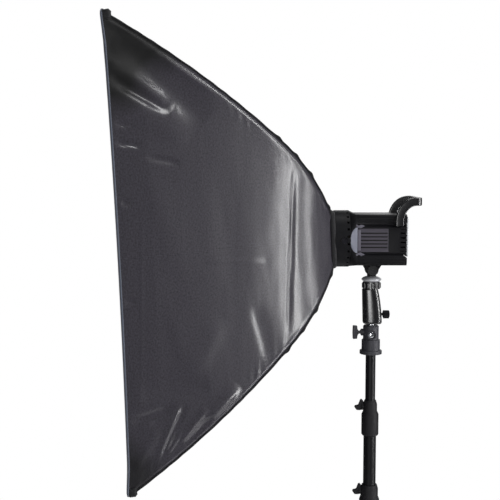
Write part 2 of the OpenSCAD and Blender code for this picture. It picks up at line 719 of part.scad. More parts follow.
module cover_top() color(nylon) in_box() tall_cover();
module cover_bottom() color(nylon) in_box() rotate([0, 0, 180]) tall_cover();
module cover_left() color(nylon) in_box() rotate([0, 0, -90]) wide_cover();
module cover_right() color(nylon) in_box() rotate([0, 0, 90]) wide_cover();

module front_hem() color("#8d93a3") in_box() {
    for (s = [-1, 1]) {
        translate([s * (box_h - hem_t) / 2, 0, hem_z + hem_w / 2])
            cube([hem_t, box_w - 2 * boot_side, hem_w], center = true);
        translate([0, s * (box_w - hem_t) / 2, hem_z + hem_w / 2])
            cube([box_h - 2 * boot_side, hem_t, hem_w], center = true);
    }
}

module corner_boots() color(rubber) in_box() for (sx = [-1, 1], sy = [-1, 1]) difference() {
    translate([sx * (box_h - boot_side) / 2, sy * (box_w - boot_side) / 2, hem_z + hem_w / 2])
        cube([boot_side, boot_side, hem_w], center = true);
    rod_plane(sx, sy) rod_arc(arc_c2, arc_r2, mid_a, tip_a, rod_d);
}

inner_curve = curve_point(slope_at(inner_depth, 0), 0);
inner_x = rod_x0 + inner_curve[1] * cos(rod_turn);
inner_y = rod_y0 + inner_curve[1] * sin(rod_turn);
inner_inset = 22;
sheet_t = 2;

module inner_diffuser() color(white) in_box() translate([0, 0, inner_depth]) union() {
    translate([0, 0, -sheet_t / 2]) linear_extrude(sheet_t)
        square([2 * (inner_x - inner_inset), 2 * (inner_y - inner_inset)], center = true);
    for (sx = [-1, 1], sy = [-1, 1])
        translate([sx * (inner_x - inner_inset - 2), sy * (inner_y - inner_inset - 2), 0])
            rotate([0, 0, sx > 0 ? sy * 45 : 180 - sy * 45]) rotate([0, 90, 0])
                cylinder(d = sheet_t, h = (inner_inset + 2) * sqrt(2) - rod_d / 2 - 2);
}

module front_diffuser() color(white) in_box() translate([0, 0, box_depth - 6]) linear_extrude(sheet_t)
    difference() {
        square([box_h - 2 * hem_t, box_w - 2 * hem_t], center = true);
        for (sx = [-1, 1], sy = [-1, 1])
            translate([sx * (box_h - boot_side) / 2, sy * (box_w - boot_side) / 2])
                square(boot_side, center = true);
    }

lower_tube();
base_hub();
hub_pins();
lower_collar();
lower_collar_knob();
leg_collar();
leg_pins();
leg_collar_knob();
leg(leg_az[0]);  // leg_front
leg(leg_az[1]);  // leg_left
leg(leg_az[2]);  // leg_right
foot(leg_az[0]);  // foot_front
foot(leg_az[1]);  // foot_left
foot(leg_az[2]);  // foot_right
brace(leg_az[0]);  // brace_front
brace(leg_az[1]);  // brace_left
brace(leg_az[2]);  // brace_right
mid_tube();
upper_collar();
upper_collar_knob();
top_tube();
head_sleeve();
head_casting();
spigot();
head_t_knob();
grip();
grip_knob();
lock_ring();
tension_disc();
tilt_tongue();
tilt_bolt();
tilt_knob();
tilt_cheeks();
lamp_body();
front_ring();
ring_lock_screw();
side_panels();
rear_fins();
rear_panel();
power_inlet();
power_switch();
handle();
reflector();
lamp_socket();
flash_tube();
modelling_bulb();
circuit_board();
fan_frame();
fan_rotor();
speed_ring();
rod_sockets();
rods();
cover_top();
cover_bottom();
cover_left();
cover_right();
front_hem();
corner_boots();
inner_diffuser();
front_diffuser();
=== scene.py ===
import bpy
import bmesh
import math
from mathutils import Matrix, Vector, noise


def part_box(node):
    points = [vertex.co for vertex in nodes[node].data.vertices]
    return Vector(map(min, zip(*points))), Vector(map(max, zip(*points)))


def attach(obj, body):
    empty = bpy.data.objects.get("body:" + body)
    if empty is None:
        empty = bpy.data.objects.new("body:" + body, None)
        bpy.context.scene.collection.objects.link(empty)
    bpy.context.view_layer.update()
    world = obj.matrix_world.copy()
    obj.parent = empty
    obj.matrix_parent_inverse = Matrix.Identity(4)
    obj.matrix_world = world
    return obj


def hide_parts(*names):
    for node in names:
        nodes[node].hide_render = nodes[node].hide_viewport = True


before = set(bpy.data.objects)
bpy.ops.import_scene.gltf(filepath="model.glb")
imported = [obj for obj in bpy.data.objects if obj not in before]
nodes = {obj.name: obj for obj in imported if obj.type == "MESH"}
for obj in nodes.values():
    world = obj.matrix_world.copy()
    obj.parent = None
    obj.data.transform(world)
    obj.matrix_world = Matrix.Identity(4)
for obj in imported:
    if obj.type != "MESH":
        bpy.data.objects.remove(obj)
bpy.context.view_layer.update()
mm = 0.001

view = {
    "place": (-0.2676, -2.190, 1.416),
    "pitch": 85,
    "lens": 72,
    "sensor": 36,
    "skyStrength": 0.08,
    "floorRadius": 1.55,
}
lamps = [  # name, place, aims at, width, height, power
    ("stripInner", (1.62, -0.98, 1.35), (-0.20, -0.10, 1.22), 0.15, 2.6, 30),
    ("stripOuter", (1.86, -0.46, 1.35), (-0.17, -0.10, 1.22), 0.10, 2.6, 17),
    ("key", (1.15, -1.60, 3.05), (-0.35, -0.15, 1.50), 1.0, 0.5, 19),
    ("overhead", (-0.10, 0.10, 3.40), (-0.10, 0.0, 1.25), 1.4, 1.0, 14),
    ("front", (-0.78, -2.85, 1.15), (-0.05, 0.0, 1.15), 0.8, 1.3, 26),
    ("back", (0.9, 2.3, 2.1), (-0.1, 0.0, 1.15), 1.6, 1.6, 12),
]


def linear(hexColour):
    parts = [int(hexColour[i:i + 2], 16) / 255 for i in (1, 3, 5)]
    return tuple(c / 12.92 if c <= 0.04045 else ((c + 0.055) / 1.055) ** 2.4 for c in parts) + (1.0,)


def addNode(tree, kind, settings=None, links=None):
    node = tree.nodes.new(kind)
    for key, value in (settings or {}).items():
        if isinstance(key, str) and hasattr(node, key):
            setattr(node, key, value)
        else:
            node.inputs[key].default_value = value
    for key, source in (links or {}).items():
        tree.links.new(source, node.inputs[key])
    return node


def setUpView():
    camera = bpy.data.objects.new("camera", bpy.data.cameras.new("camera"))
    bpy.context.collection.objects.link(camera)
    camera.location = view["place"]
    camera.rotation_euler = (math.radians(view["pitch"]), 0, 0)
    camera.data.lens, camera.data.sensor_width = view["lens"], view["sensor"]
    bpy.context.scene.camera = camera
    bpy.context.scene.view_settings.view_transform = "Standard"
    world = bpy.data.worlds.new("studio")
    bpy.context.scene.world = world
    world.use_nodes = True
    tree = world.node_tree
    tree.nodes.clear()
    path = addNode(tree, "ShaderNodeLightPath")
    seen = addNode(tree, "ShaderNodeBackground", {"Color": (1, 1, 1, 1), "Strength": 1.0})
    lit = addNode(tree, "ShaderNodeBackground", {"Color": linear("#f4f5f8"), "Strength": view["skyStrength"]})
    pick = addNode(tree, "ShaderNodeMixShader", None, {0: path.outputs["Is Camera Ray"]})
    tree.links.new(lit.outputs[0], pick.inputs[1])
    tree.links.new(seen.outputs[0], pick.inputs[2])
    addNode(tree, "ShaderNodeOutputWorld", None, {"Surface": pick.outputs[0]})
    for name, place, aim, width, height, power in lamps:
        data = bpy.data.lights.new(name, "AREA")
        data.shape, data.size, data.size_y, data.energy = "RECTANGLE", width, height, power
        light = bpy.data.objects.new(name, data)
        bpy.context.collection.objects.link(light)
        light.location = place
        light.rotation_euler = (Vector(aim) - Vector(place)).to_track_quat("-Z", "Y").to_euler()


def newMaterial(name):
    material = bpy.data.materials.new(name)
    material.use_nodes = True
    return material, material.node_tree, material.node_tree.nodes["Principled BSDF"]


def setShader(shader, values):
    for key, value in values.items():
        shader.inputs[key].default_value = value


# One entry for each hard finish. grainMm is the grit or texture size, liftMm its height, driftMm the
# size of slow changes in tone, lines the direction in which drawn or turned marks run.
hardFinishes = {
    # injection-moulded ABS, spark-eroded texture: satin black, soft wide highlights
    "mouldedAbs": {"specular": 0.14, "tones": ("#0b0b0d", "#131316"), "rough": (0.36, 0.50), "grainMm": 0.9,
                   "liftMm": 0.020, "driftMm": 60, "edgeMm": 0.5},
    # polished ABS: near black with a clear, tight highlight
    "polishedAbs": {"specular": 1.0, "tones": ("#070709", "#0d0d10"), "rough": (0.20, 0.28), "grainMm": 4.0,
                    "liftMm": 0.003, "driftMm": 40},
    # moulded ABS with a grey soft-feel paint: dull violet grey
    "paintedAbs": {"specular": 0.2, "tones": ("#56545e", "#62606a"), "rough": (0.44, 0.56), "grainMm": 1.0,
                   "liftMm": 0.015, "driftMm": 30, "edgeMm": 0.4},
    # the same paint, darker, on the ribbed side panels
    "panelAbs": {"specular": 0.2, "tones": ("#37353c", "#423f47"), "rough": (0.46, 0.58), "grainMm": 1.0,
                 "liftMm": 0.015, "driftMm": 30, "edgeMm": 0.4},
    # the same paint, painted lighter on the facets that catch the light: a painted highlight
    "paintedHighlightAbs": {"specular": 0.25, "tones": ("#646672", "#767884"), "rough": (0.40, 0.50), "grainMm": 1.0,
                "liftMm": 0.012, "driftMm": 30, "edgeMm": 0.4},
    # glass-filled nylon: matt charcoal with a faint fibre mottle
    "filledNylon": {"specular": 0.2, "tones": ("#141416", "#1e1d20"), "rough": (0.52, 0.66), "grainMm": 1.4,
                    "liftMm": 0.035, "driftMm": 25, "edgeMm": 0.6},
    # die-cast aluminium under black powder coat: charcoal, orange-peel surface
    "powderCoat": {"specular": 0.3, "tones": ("#2b2b2f", "#38383d"), "rough": (0.42, 0.54), "grainMm": 1.6,
                   "liftMm": 0.045, "driftMm": 35, "edgeMm": 0.6},
    # drawn aluminium tube, black anodised: dark with long fine draw lines
    "anodisedTube": {"specular": 0.2, "tones": ("#0b0b0d", "#131316"), "rough": (0.30, 0.42), "grainMm": 0.8,
                     "liftMm": 0.008, "driftMm": 80, "lines": (1, 1, 0.02)},
    # moulded rubber: dull black, powdery mottle
    "mouldedRubber": {"specular": 0.2, "tones": ("#101011", "#1a1a1c"), "rough": (0.70, 0.86), "grainMm": 1.2,
                      "liftMm": 0.05, "driftMm": 18, "edgeMm": 0.6},
    # nickel-chrome plate: bright, mirror-like with faint haze
    "chromePlate": {"tones": ("#c9cbd0", "#e2e4e8"), "rough": (0.08, 0.18), "grainMm": 1.5, "liftMm": 0.006,
                    "driftMm": 20, "metal": 1.0, "edgeMm": 0.3},
    # die-cast aluminium, tumbled: soft silver with a fine grain
    "tumbledAluminium": {"tones": ("#9a9ca1", "#b7b9bd"), "rough": (0.34, 0.48), "grainMm": 0.8,
                         "liftMm": 0.03, "driftMm": 22, "metal": 1.0, "edgeMm": 0.4},
    # turned aluminium, satin anodised: pale grey, shading softly from one side to the other
    "satinAluminium": {"tones": ("#a5a6ab", "#c0c1c5"), "rough": (0.28, 0.38), "grainMm": 0.8, "liftMm": 0.01,
                       "driftMm": 22, "metal": 0.3, "edgeMm": 0.3},
    # oil-tempered spring steel: grey, smooth, drawn
    "springSteel": {"tones": ("#7d8087", "#9a9da3"), "rough": (0.22, 0.34), "grainMm": 0.6, "liftMm": 0.006,
                    "driftMm": 50, "metal": 1.0},
    # steel, black zinc plated: dark with a small hard glint
    "blackZinc": {"tones": ("#1c1c20", "#2b2b30"), "rough": (0.22, 0.32), "grainMm": 0.7, "liftMm": 0.008,
                  "driftMm": 15, "metal": 0.9, "edgeMm": 0.3},
    # steatite ceramic: chalky off-white
    "steatite": {"tones": ("#dcd8cc", "#ebe7dd"), "rough": (0.55, 0.70), "grainMm": 0.8, "liftMm": 0.02,
                 "driftMm": 14},
    # glass-epoxy board with green solder mask: even green, faint weave
    "solderMask": {"tones": ("#1e5a36", "#2a6d44"), "rough": (0.35, 0.45), "grainMm": 0.7, "liftMm": 0.008,
                   "driftMm": 20},
    # powder-coated steel sheet, light grey: fine orange peel
    "greyPanel": {"tones": ("#a9abae", "#bcbec1"), "rough": (0.42, 0.52), "grainMm": 1.2, "liftMm": 0.02,
                  "driftMm": 30, "edgeMm": 0.4},
}
hardLook = {"grainShare": 0.45, "spread": (0.35, 0.95), "bump": 0.6}


def hardFinish(name, finish):
    material, tree, shader = newMaterial(name)
    place = addNode(tree, "ShaderNodeTexCoord")
    run = addNode(tree, "ShaderNodeMapping", {"Scale": finish.get("lines", (1, 1, 1))},
                  {"Vector": place.outputs["Object"]})
    grain = addNode(tree, "ShaderNodeTexNoise", {"Scale": 1 / (finish["grainMm"] * mm), "Detail": 2.0},
                    {"Vector": run.outputs[0]})
    drift = addNode(tree, "ShaderNodeTexNoise", {"Scale": 1 / (finish["driftMm"] * mm), "Detail": 4.0},
                    {"Vector": place.outputs["Object"]})
    smudge = addNode(tree, "ShaderNodeMath", {"operation": "MULTIPLY_ADD", 1: hardLook["grainShare"]},
                     {0: grain.outputs["Fac"]})
    tree.links.new(drift.outputs["Fac"], smudge.inputs[2])
    low, high = finish["tones"]
    tone = addNode(tree, "ShaderNodeMix", {"data_type": "RGBA", 6: linear(low), 7: linear(high)},
                   {0: smudge.outputs[0]})
    gloss = addNode(tree, "ShaderNodeMapRange",
                    {"From Min": hardLook["spread"][0], "From Max": hardLook["spread"][1],
                     "To Min": finish["rough"][0], "To Max": finish["rough"][1]},
                    {"Value": smudge.outputs[0]})
    bump = addNode(tree, "ShaderNodeBump", {"Strength": hardLook["bump"], "Distance": finish["liftMm"] * mm},
                   {"Height": grain.outputs["Fac"]})
    if "edgeMm" in finish:
        edge = addNode(tree, "ShaderNodeBevel", {"samples": 4, "Radius": finish["edgeMm"] * mm})
        tree.links.new(edge.outputs[0], bump.inputs["Normal"])
    tree.links.new(tone.outputs[2], shader.inputs["Base Color"])
    tree.links.new(gloss.outputs[0], shader.inputs["Roughness"])
    tree.links.new(bump.outputs[0], shader.inputs["Normal"])
    setShader(shader, {"Metallic": finish.get("metal", 0.0),
                       "Specular IOR Level": finish.get("specular", 0.5)})
    return material


# Woven goods: threadMm is the thread pitch drawn. A real thread is 0.1 to 0.3 mm, too fine to show, so
# each is drawn as coarse as it needs to be for the grain to show.
wovenGoods = {
    # satin-weave nylon, coated: violet black with a long soft sheen along the threads
    "satinNylon": {"tones": ("#0e0d10", "#36333c"), "rough": (0.40, 0.55), "threadMm": 2.4, "liftMm": 0.34,
                   "mottleMm": 4.0, "specular": 0.25, "coat": 0.95, "coatRough": 0.18},
    # polyester binding tape, folded and sewn: flat black ribs
    "bindingTape": {"tones": ("#0e0e10", "#1a1a1d"), "rough": (0.55, 0.70), "threadMm": 1.6, "liftMm": 0.20,
                    "mottleMm": 5, "sheen": 0.1},
    # grosgrain hem tape: pale blue grey with fine cross ribs
    "grosgrain": {"tones": ("#4a4f5b", "#666b78"), "rough": (0.50, 0.65), "threadMm": 1.4, "liftMm": 0.18,
                  "mottleMm": 4, "sheen": 0.2},
    # white ripstop diffuser nylon: soft, even, faint grid
    "diffuserNylon": {"tones": ("#e9e9e6", "#f6f6f4"), "rough": (0.55, 0.68), "threadMm": 2.6, "liftMm": 0.05,
                      "mottleMm": 8, "sheen": 0.2},
    # aluminised lining: silver, slightly crumpled
    "silverLining": {"tones": ("#b5b7bb", "#cfd1d5"), "rough": (0.30, 0.42), "threadMm": 2.4, "liftMm": 0.08,
                     "mottleMm": 6, "metal": 0.9},
    # braided elastic: charcoal with a herringbone rib
    "braidedElastic": {"tones": ("#0c0c0e", "#17171a"), "rough": (0.60, 0.72), "threadMm": 1.8,
                       "liftMm": 0.25, "mottleMm": 6, "sheen": 0.15},
}
# the last two entries give the colour and coat weight of the painted shade at the front corners of the box
wovenLook = {"waver": 0.6, "weaveShare": 0.3, "toneSpread": (0.42, 0.88), "roughSpread": (0.3, 0.9),
             "bump": 0.7, "coatBump": 0.30, "paintedShadeTone": "#070708", "paintedShadeCoat": 0.02}


def wovenFinish(name, cloth):
    material, tree, shader = newMaterial(name)
    place = addNode(tree, "ShaderNodeUVMap", {"uv_map": "cut"})
    turns = math.pi / (cloth["threadMm"] * mm) / 10  # the wave node draws one band each 2 pi / 20 units
    warp = addNode(tree, "ShaderNodeTexWave",
                   {"bands_direction": "X", "Scale": turns, "Distortion": wovenLook["waver"], "Detail": 1.0},
                   {"Vector": place.outputs[0]})
    weft = addNode(tree, "ShaderNodeTexWave",
                   {"bands_direction": "Y", "Scale": turns, "Distortion": wovenLook["waver"], "Detail": 1.0},
                   {"Vector": place.outputs[0]})
    cross = addNode(tree, "ShaderNodeMath", {"operation": "MAXIMUM"},
                    {0: warp.outputs["Fac"], 1: weft.outputs["Fac"]})
    mottle = addNode(tree, "ShaderNodeTexNoise",
                     {"Scale": 1 / (cloth["mottleMm"] * mm), "Detail": 3.0, "Roughness": 0.7},
                     {"Vector": place.outputs[0]})
    mixed = addNode(tree, "ShaderNodeMath", {"operation": "MULTIPLY_ADD", 1: wovenLook["weaveShare"]},
                    {0: cross.outputs[0], 2: mottle.outputs["Fac"]})
    low, high = cloth["tones"]
    spread = addNode(tree, "ShaderNodeMapRange",
                     {"From Min": wovenLook["toneSpread"][0], "From Max": wovenLook["toneSpread"][1]},
                     {"Value": mixed.outputs[0]})
    tone = addNode(tree, "ShaderNodeMix", {"data_type": "RGBA", 6: linear(low), 7: linear(high)},
                   {0: spread.outputs[0]})
    gloss = addNode(tree, "ShaderNodeMapRange",
                    {"From Min": wovenLook["roughSpread"][0], "From Max": wovenLook["roughSpread"][1],
                     "To Min": cloth["rough"][1], "To Max": cloth["rough"][0]},
                    {"Value": mottle.outputs["Fac"]})
    bump = addNode(tree, "ShaderNodeBump", {"Strength": wovenLook["bump"], "Distance": cloth["liftMm"] * mm},
                   {"Height": mixed.outputs[0]})
    tree.links.new(tone.outputs[2], shader.inputs["Base Color"])
    tree.links.new(gloss.outputs[0], shader.inputs["Roughness"])
    tree.links.new(bump.outputs[0], shader.inputs["Normal"])
    setShader(shader, {"Sheen Weight": cloth.get("sheen", 0.0), "Sheen Roughness": 0.4,
                       "Metallic": cloth.get("metal", 0.0),
                       "Specular IOR Level": cloth.get("specular", 0.3)})
    if "coat" in cloth:
        # painted shade: where the piece marks it, the cloth is coloured near black and its coat is taken off
        paintedShade = addNode(tree, "ShaderNodeAttribute", {"attribute_name": "paintedShade"})
        shadedTone = addNode(tree, "ShaderNodeMix", {"data_type": "RGBA", 7: linear(wovenLook["paintedShadeTone"])},
                          {0: paintedShade.outputs["Fac"], 6: tone.outputs[2]})
        tree.links.new(shadedTone.outputs[2], shader.inputs["Base Color"])
        film = addNode(tree, "ShaderNodeMapRange",
                       {"From Min": 0.0, "From Max": 1.0, "To Min": cloth["coat"],
                        "To Max": wovenLook["paintedShadeCoat"]}, {"Value": paintedShade.outputs["Fac"]})
        tree.links.new(film.outputs[0], shader.inputs["Coat Weight"])
        grain = addNode(tree, "ShaderNodeBump",
                        {"Strength": wovenLook["coatBump"], "Distance": cloth["liftMm"] * mm},
                        {"Height": mottle.outputs["Fac"]})
        tree.links.new(grain.outputs[0], shader.inputs["Coat Normal"])
        setShader(shader, {"Coat Roughness": cloth["coatRough"], "Coat IOR": 1.5})
    return material


glassLook = {"hazeMm": 12, "hazeRough": 0.08, "clear": 0.85, "ior": 1.47}


def clearFinish(name, tint, rough):
    material, tree, shader = newMaterial(name)
    place = addNode(tree, "ShaderNodeTexCoord")
    haze = addNode(tree, "ShaderNodeTexNoise", {"Scale": 1 / (glassLook["hazeMm"] * mm), "Detail": 2.0},
                   {"Vector": place.outputs["Object"]})
    gloss = addNode(tree, "ShaderNodeMapRange", {"To Min": rough, "To Max": rough + glassLook["hazeRough"]},
                    {"Value": haze.outputs["Fac"]})
    tree.links.new(gloss.outputs[0], shader.inputs["Roughness"])
    setShader(shader, {"Base Color": linear(tint), "Transmission Weight": glassLook["clear"],
                       "IOR": glassLook["ior"]})
    return material


finishes = {name: hardFinish(name, finish) for name, finish in hardFinishes.items()}
finishes.update({name: wovenFinish(name, cloth) for name, cloth in wovenGoods.items()})
finishes["quartzGlass"] = clearFinish("quartzGlass", "#f4f6f8", 0.03)  # fused quartz: clear, hard highlights
finishes["frostedGlass"] = clearFinish("frostedGlass", "#f3ead6", 0.35)  # acid-etched bulb: warm, milky

nodeFinish = {
    "lower_tube": "anodisedTube", "mid_tube": "anodisedTube", "top_tube": "anodisedTube",
    "leg_front": "anodisedTube", "leg_left": "anodisedTube", "leg_right": "anodisedTube",
    "brace_front": "anodisedTube", "brace_left": "anodisedTube", "brace_right": "anodisedTube",
    "foot_front": "mouldedRubber", "foot_left": "mouldedRubber", "foot_right": "mouldedRubber",
    "base_hub": "filledNylon", "leg_collar": "filledNylon", "lower_collar": "filledNylon",
              "upper_collar": "filledNylon",
    "hub_pins": "springSteel", "leg_pins": "springSteel", "tilt_bolt": "chromePlate",
    "lower_collar_knob": "mouldedRubber", "upper_collar_knob": "mouldedRubber",
              "leg_collar_knob": "mouldedRubber",
    "head_sleeve": "powderCoat", "head_casting": "powderCoat", "spigot": "chromePlate",
              "head_t_knob": "powderCoat",
    "grip": "polishedAbs", "grip_knob": "mouldedAbs", "lock_ring": "polishedAbs",
              "tension_disc": "chromePlate",
    "tilt_tongue": "mouldedAbs", "tilt_knob": "polishedAbs", "tilt_cheeks": "mouldedAbs",
    "lamp_body": "mouldedAbs", "front_ring": "mouldedAbs", "ring_lock_screw": "blackZinc",
              "side_panels": "panelAbs",
    "rear_fins": "mouldedAbs", "rear_panel": "greyPanel", "power_inlet": "mouldedAbs",
              "power_switch": "mouldedRubber",
    "handle": "polishedAbs", "reflector": "tumbledAluminium", "lamp_socket": "steatite",
              "flash_tube": "quartzGlass",
    "modelling_bulb": "frostedGlass", "circuit_board": "solderMask", "fan_frame": "mouldedAbs",
              "fan_rotor": "filledNylon",
    "speed_ring": "mouldedAbs", "rod_sockets": "mouldedAbs", "rods": "springSteel",
}


def paint(obj, name):
    if not obj.data.materials:
        obj.data.materials.append(None)
    for entry in obj.material_slots:
        entry.link = "OBJECT"
        entry.material = finishes[name]


def paintNodes():
    for node, name in nodeFinish.items():
        paint(nodes[node], name)


def makePiece(name, bm, body, finish, crease=None, stands=()):
    mesh = bpy.data.meshes.new(name)
    bm.to_mesh(mesh)
    bm.free()
    piece = bpy.data.objects.new(name, mesh)
    bpy.context.collection.objects.link(piece)
    mesh.materials.append(finishes[finish])
    mesh.shade_smooth()
    if crease:
        mesh.set_sharp_from_angle(angle=math.radians(crease))
    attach(piece, body)
    if stands:
        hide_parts(*stands)
    return piece


def bevelEdges(bm, width, segments=3, steep=30):
    # rounds every edge between faces that meet at more than steep degrees
    sharp = [e for e in bm.edges if len(e.link_faces) == 2 and e.calc_face_angle(0) > math.radians(steep)]
    bmesh.ops.bevel(bm, geom=sharp, offset=width * mm, offset_type="OFFSET", affect="EDGES",
                    segments=segments, profile=0.5, material=-1, clamp_overlap=True)


def outlineBlock(bm, outline, low, high, toWorld):
    # a closed outline of (a, b) points drawn up from low to high; toWorld turns (a, b, height) into a place
    # in mm
    verts = [bm.verts.new(Vector(toWorld(a, b, low)) * mm) for a, b in outline]
    face = bm.faces.new(verts)
    grown = bmesh.ops.extrude_face_region(bm, geom=[face])["geom"]
    move = (Vector(toWorld(0, 0, high)) - Vector(toWorld(0, 0, low))) * mm
    bmesh.ops.translate(bm, verts=[g for g in grown if isinstance(g, bmesh.types.BMVert)], vec=move)
    bmesh.ops.recalc_face_normals(bm, faces=bm.faces)


def finishedCopy(node, body, width, segments=2, steep=32):
    # the CAD node's shape with its edges rounded as the mould or the casting leaves them
    bm = bmesh.new()
    bm.from_mesh(nodes[node].data)
    bmesh.ops.remove_doubles(bm, verts=bm.verts, dist=2e-6)
    bmesh.ops.dissolve_limit(bm, angle_limit=math.radians(0.5), verts=bm.verts, edges=bm.edges)
    piece = makePiece(node + "_finished", bm, body, nodeFinish[node], crease=40, stands=(node,))
    edge = piece.modifiers.new("edge", "BEVEL")
    edge.width, edge.segments = width * mm, segments
    edge.limit_method, edge.angle_limit = "ANGLE", math.radians(steep)
    edge.harden_normals = True
    return piece


def loft(bm, rings, caps=True):
    # skin through closed rings of equally many points, each ring grown from the last
    verts = [bm.verts.new(p) for p in rings[0]]
    count = len(verts)
    edges = [bm.edges.new((verts[i], verts[(i + 1) % count])) for i in range(count)]
    if caps:
        bm.faces.new(verts[::-1])
    for ring in rings[1:]:
        grown = bmesh.ops.extrude_edge_only(bm, edges=edges)["geom"]
        fresh = {g for g in grown if isinstance(g, bmesh.types.BMVert)}
        edges = [g for g in grown if isinstance(g, bmesh.types.BMEdge) and g.verts[0] in fresh
                 and g.verts[1] in fresh]
        verts = [next(e.other_vert(v) for e in v.link_edges if e.other_vert(v) in fresh) for v in verts]
        for vert, point in zip(verts, ring):
            vert.co = point
    if caps:
        bm.faces.new(verts)
    bmesh.ops.recalc_face_normals(bm, faces=bm.faces)
    return bm


box = {
    "place": (-90, 0, 1250), "tilt": -92.5, "start": (56, 56), "spread": 31.62,
    "tightCentre": (472.910, -144.051), "tightRadius": 485.760, "rootAngle": 72.750, "midAngle": 48.750,
    "gentleRadius": 1893.312, "tipAngle": 35.750, "depth": 431,
    "stand": 7.0, "corner": (16.0, 9.0, 9.0, 16.0), "rows": 196, "length": 634.8, "inside": (-300, 0, 1230),
    "panels": (("top", 52), ("far", 90), ("bottom", 52), ("near", 186)), "cornerColumns": 6,
    "lining": {"stand": 4.0, "corner": (9.0, 9.0, 9.0, 9.0), "rows": 66, "thin": 3, "widen": 1.5},
    "rideTop": 5.0, "rideLow": 2.8, "rideRun": 4,
    "bow": 5.0, "bowPeak": 1.15, "bowFlat": 0.8, "bowHem": 3.0, "dip": 4.5, "dipFrom": 0.8, "dipRun": 0.2,
    "earWide": 0.10, "earFrom": 0.94, "earRun": 0.06, "earUp": 2.5, "earDown": -0.5, "earOut": 4,
    "earForward": 3,
}
boxPlace = Matrix.Translation(Vector(box["place"]) * mm) @ Matrix.Rotation(math.radians(box["tilt"]), 4, "Y")


def rodPoint(share, stand):
    # forward and outward place of the corner seam in its rod's plane, share 0 at the ring to 1 at the hem
    tight = box["tightRadius"] * math.radians(box["rootAngle"] - box["midAngle"])
    gentle = box["gentleRadius"] * math.radians(box["midAngle"] - box["tipAngle"])
    cx, cy = box["tightCentre"]
    middle = math.radians(box["midAngle"])
    ex = cx + (box["gentleRadius"] - box["tightRadius"]) * math.sin(middle)
    ey = cy - (box["gentleRadius"] - box["tightRadius"]) * math.cos(middle)
    way = share * (tight + gentle)
    if way < tight:
        angle = math.radians(box["rootAngle"]) - way / box["tightRadius"]
        radius = box["tightRadius"] + stand
        return cx - radius * math.sin(angle), cy + radius * math.cos(angle)
    angle = middle - (way - tight) / box["gentleRadius"]
    radius = box["gentleRadius"] + stand
    return ex - radius * math.sin(angle), ey + radius * math.cos(angle)


def seam(share, stand):
    # local half height, half width and depth of the seam
    forward, out = rodPoint(min(share, 1.0), stand)
    if share > 1.0:
        a, b = rodPoint(0.98, stand), rodPoint(1.0, stand)
        extra = (share - 1.0) / 0.02
        forward, out = b[0] + (b[0] - a[0]) * extra, b[1] + (b[1] - a[1]) * extra
    turn = math.radians(box["spread"])
    return box["start"][0] + out * math.cos(turn), box["start"][1] + out * math.sin(turn), forward


endShare = 1.0
while seam(endShare, box["stand"])[2] < box["depth"]:
    endShare += 0.001

panels, cornerColumns = box["panels"], box["cornerColumns"]
columns = sum(count + cornerColumns for _, count in panels)


def girth(column, halfHeight, halfWidth, corner):
    # local up and across, the panel's name, its place across from -1 to 1, metres across, all for one column
    for k, (name, count) in enumerate(panels):
        half = halfWidth if k % 2 == 0 else halfHeight
        low, high = corner[k - 1] - half, half - corner[k]
        reach = halfHeight if k % 2 == 0 else halfWidth
        turn = Matrix.Rotation(k * math.pi / 2, 2)
        if column <= count:
            s = 2 * column / count - 1
            flat = low + (high - low) * column / count
            p = turn @ Vector((reach, flat))
            return p[0], p[1], name, s, flat
        column -= count
        if column < cornerColumns:
            a = column / cornerColumns * math.pi / 2
            p = turn @ Vector((reach - corner[k] + corner[k] * math.cos(a), high + corner[k] * math.sin(a)))
            return p[0], p[1], name, 1.0, high + corner[k] * a
        column -= cornerColumns
    return girth(0, halfHeight, halfWidth, corner)


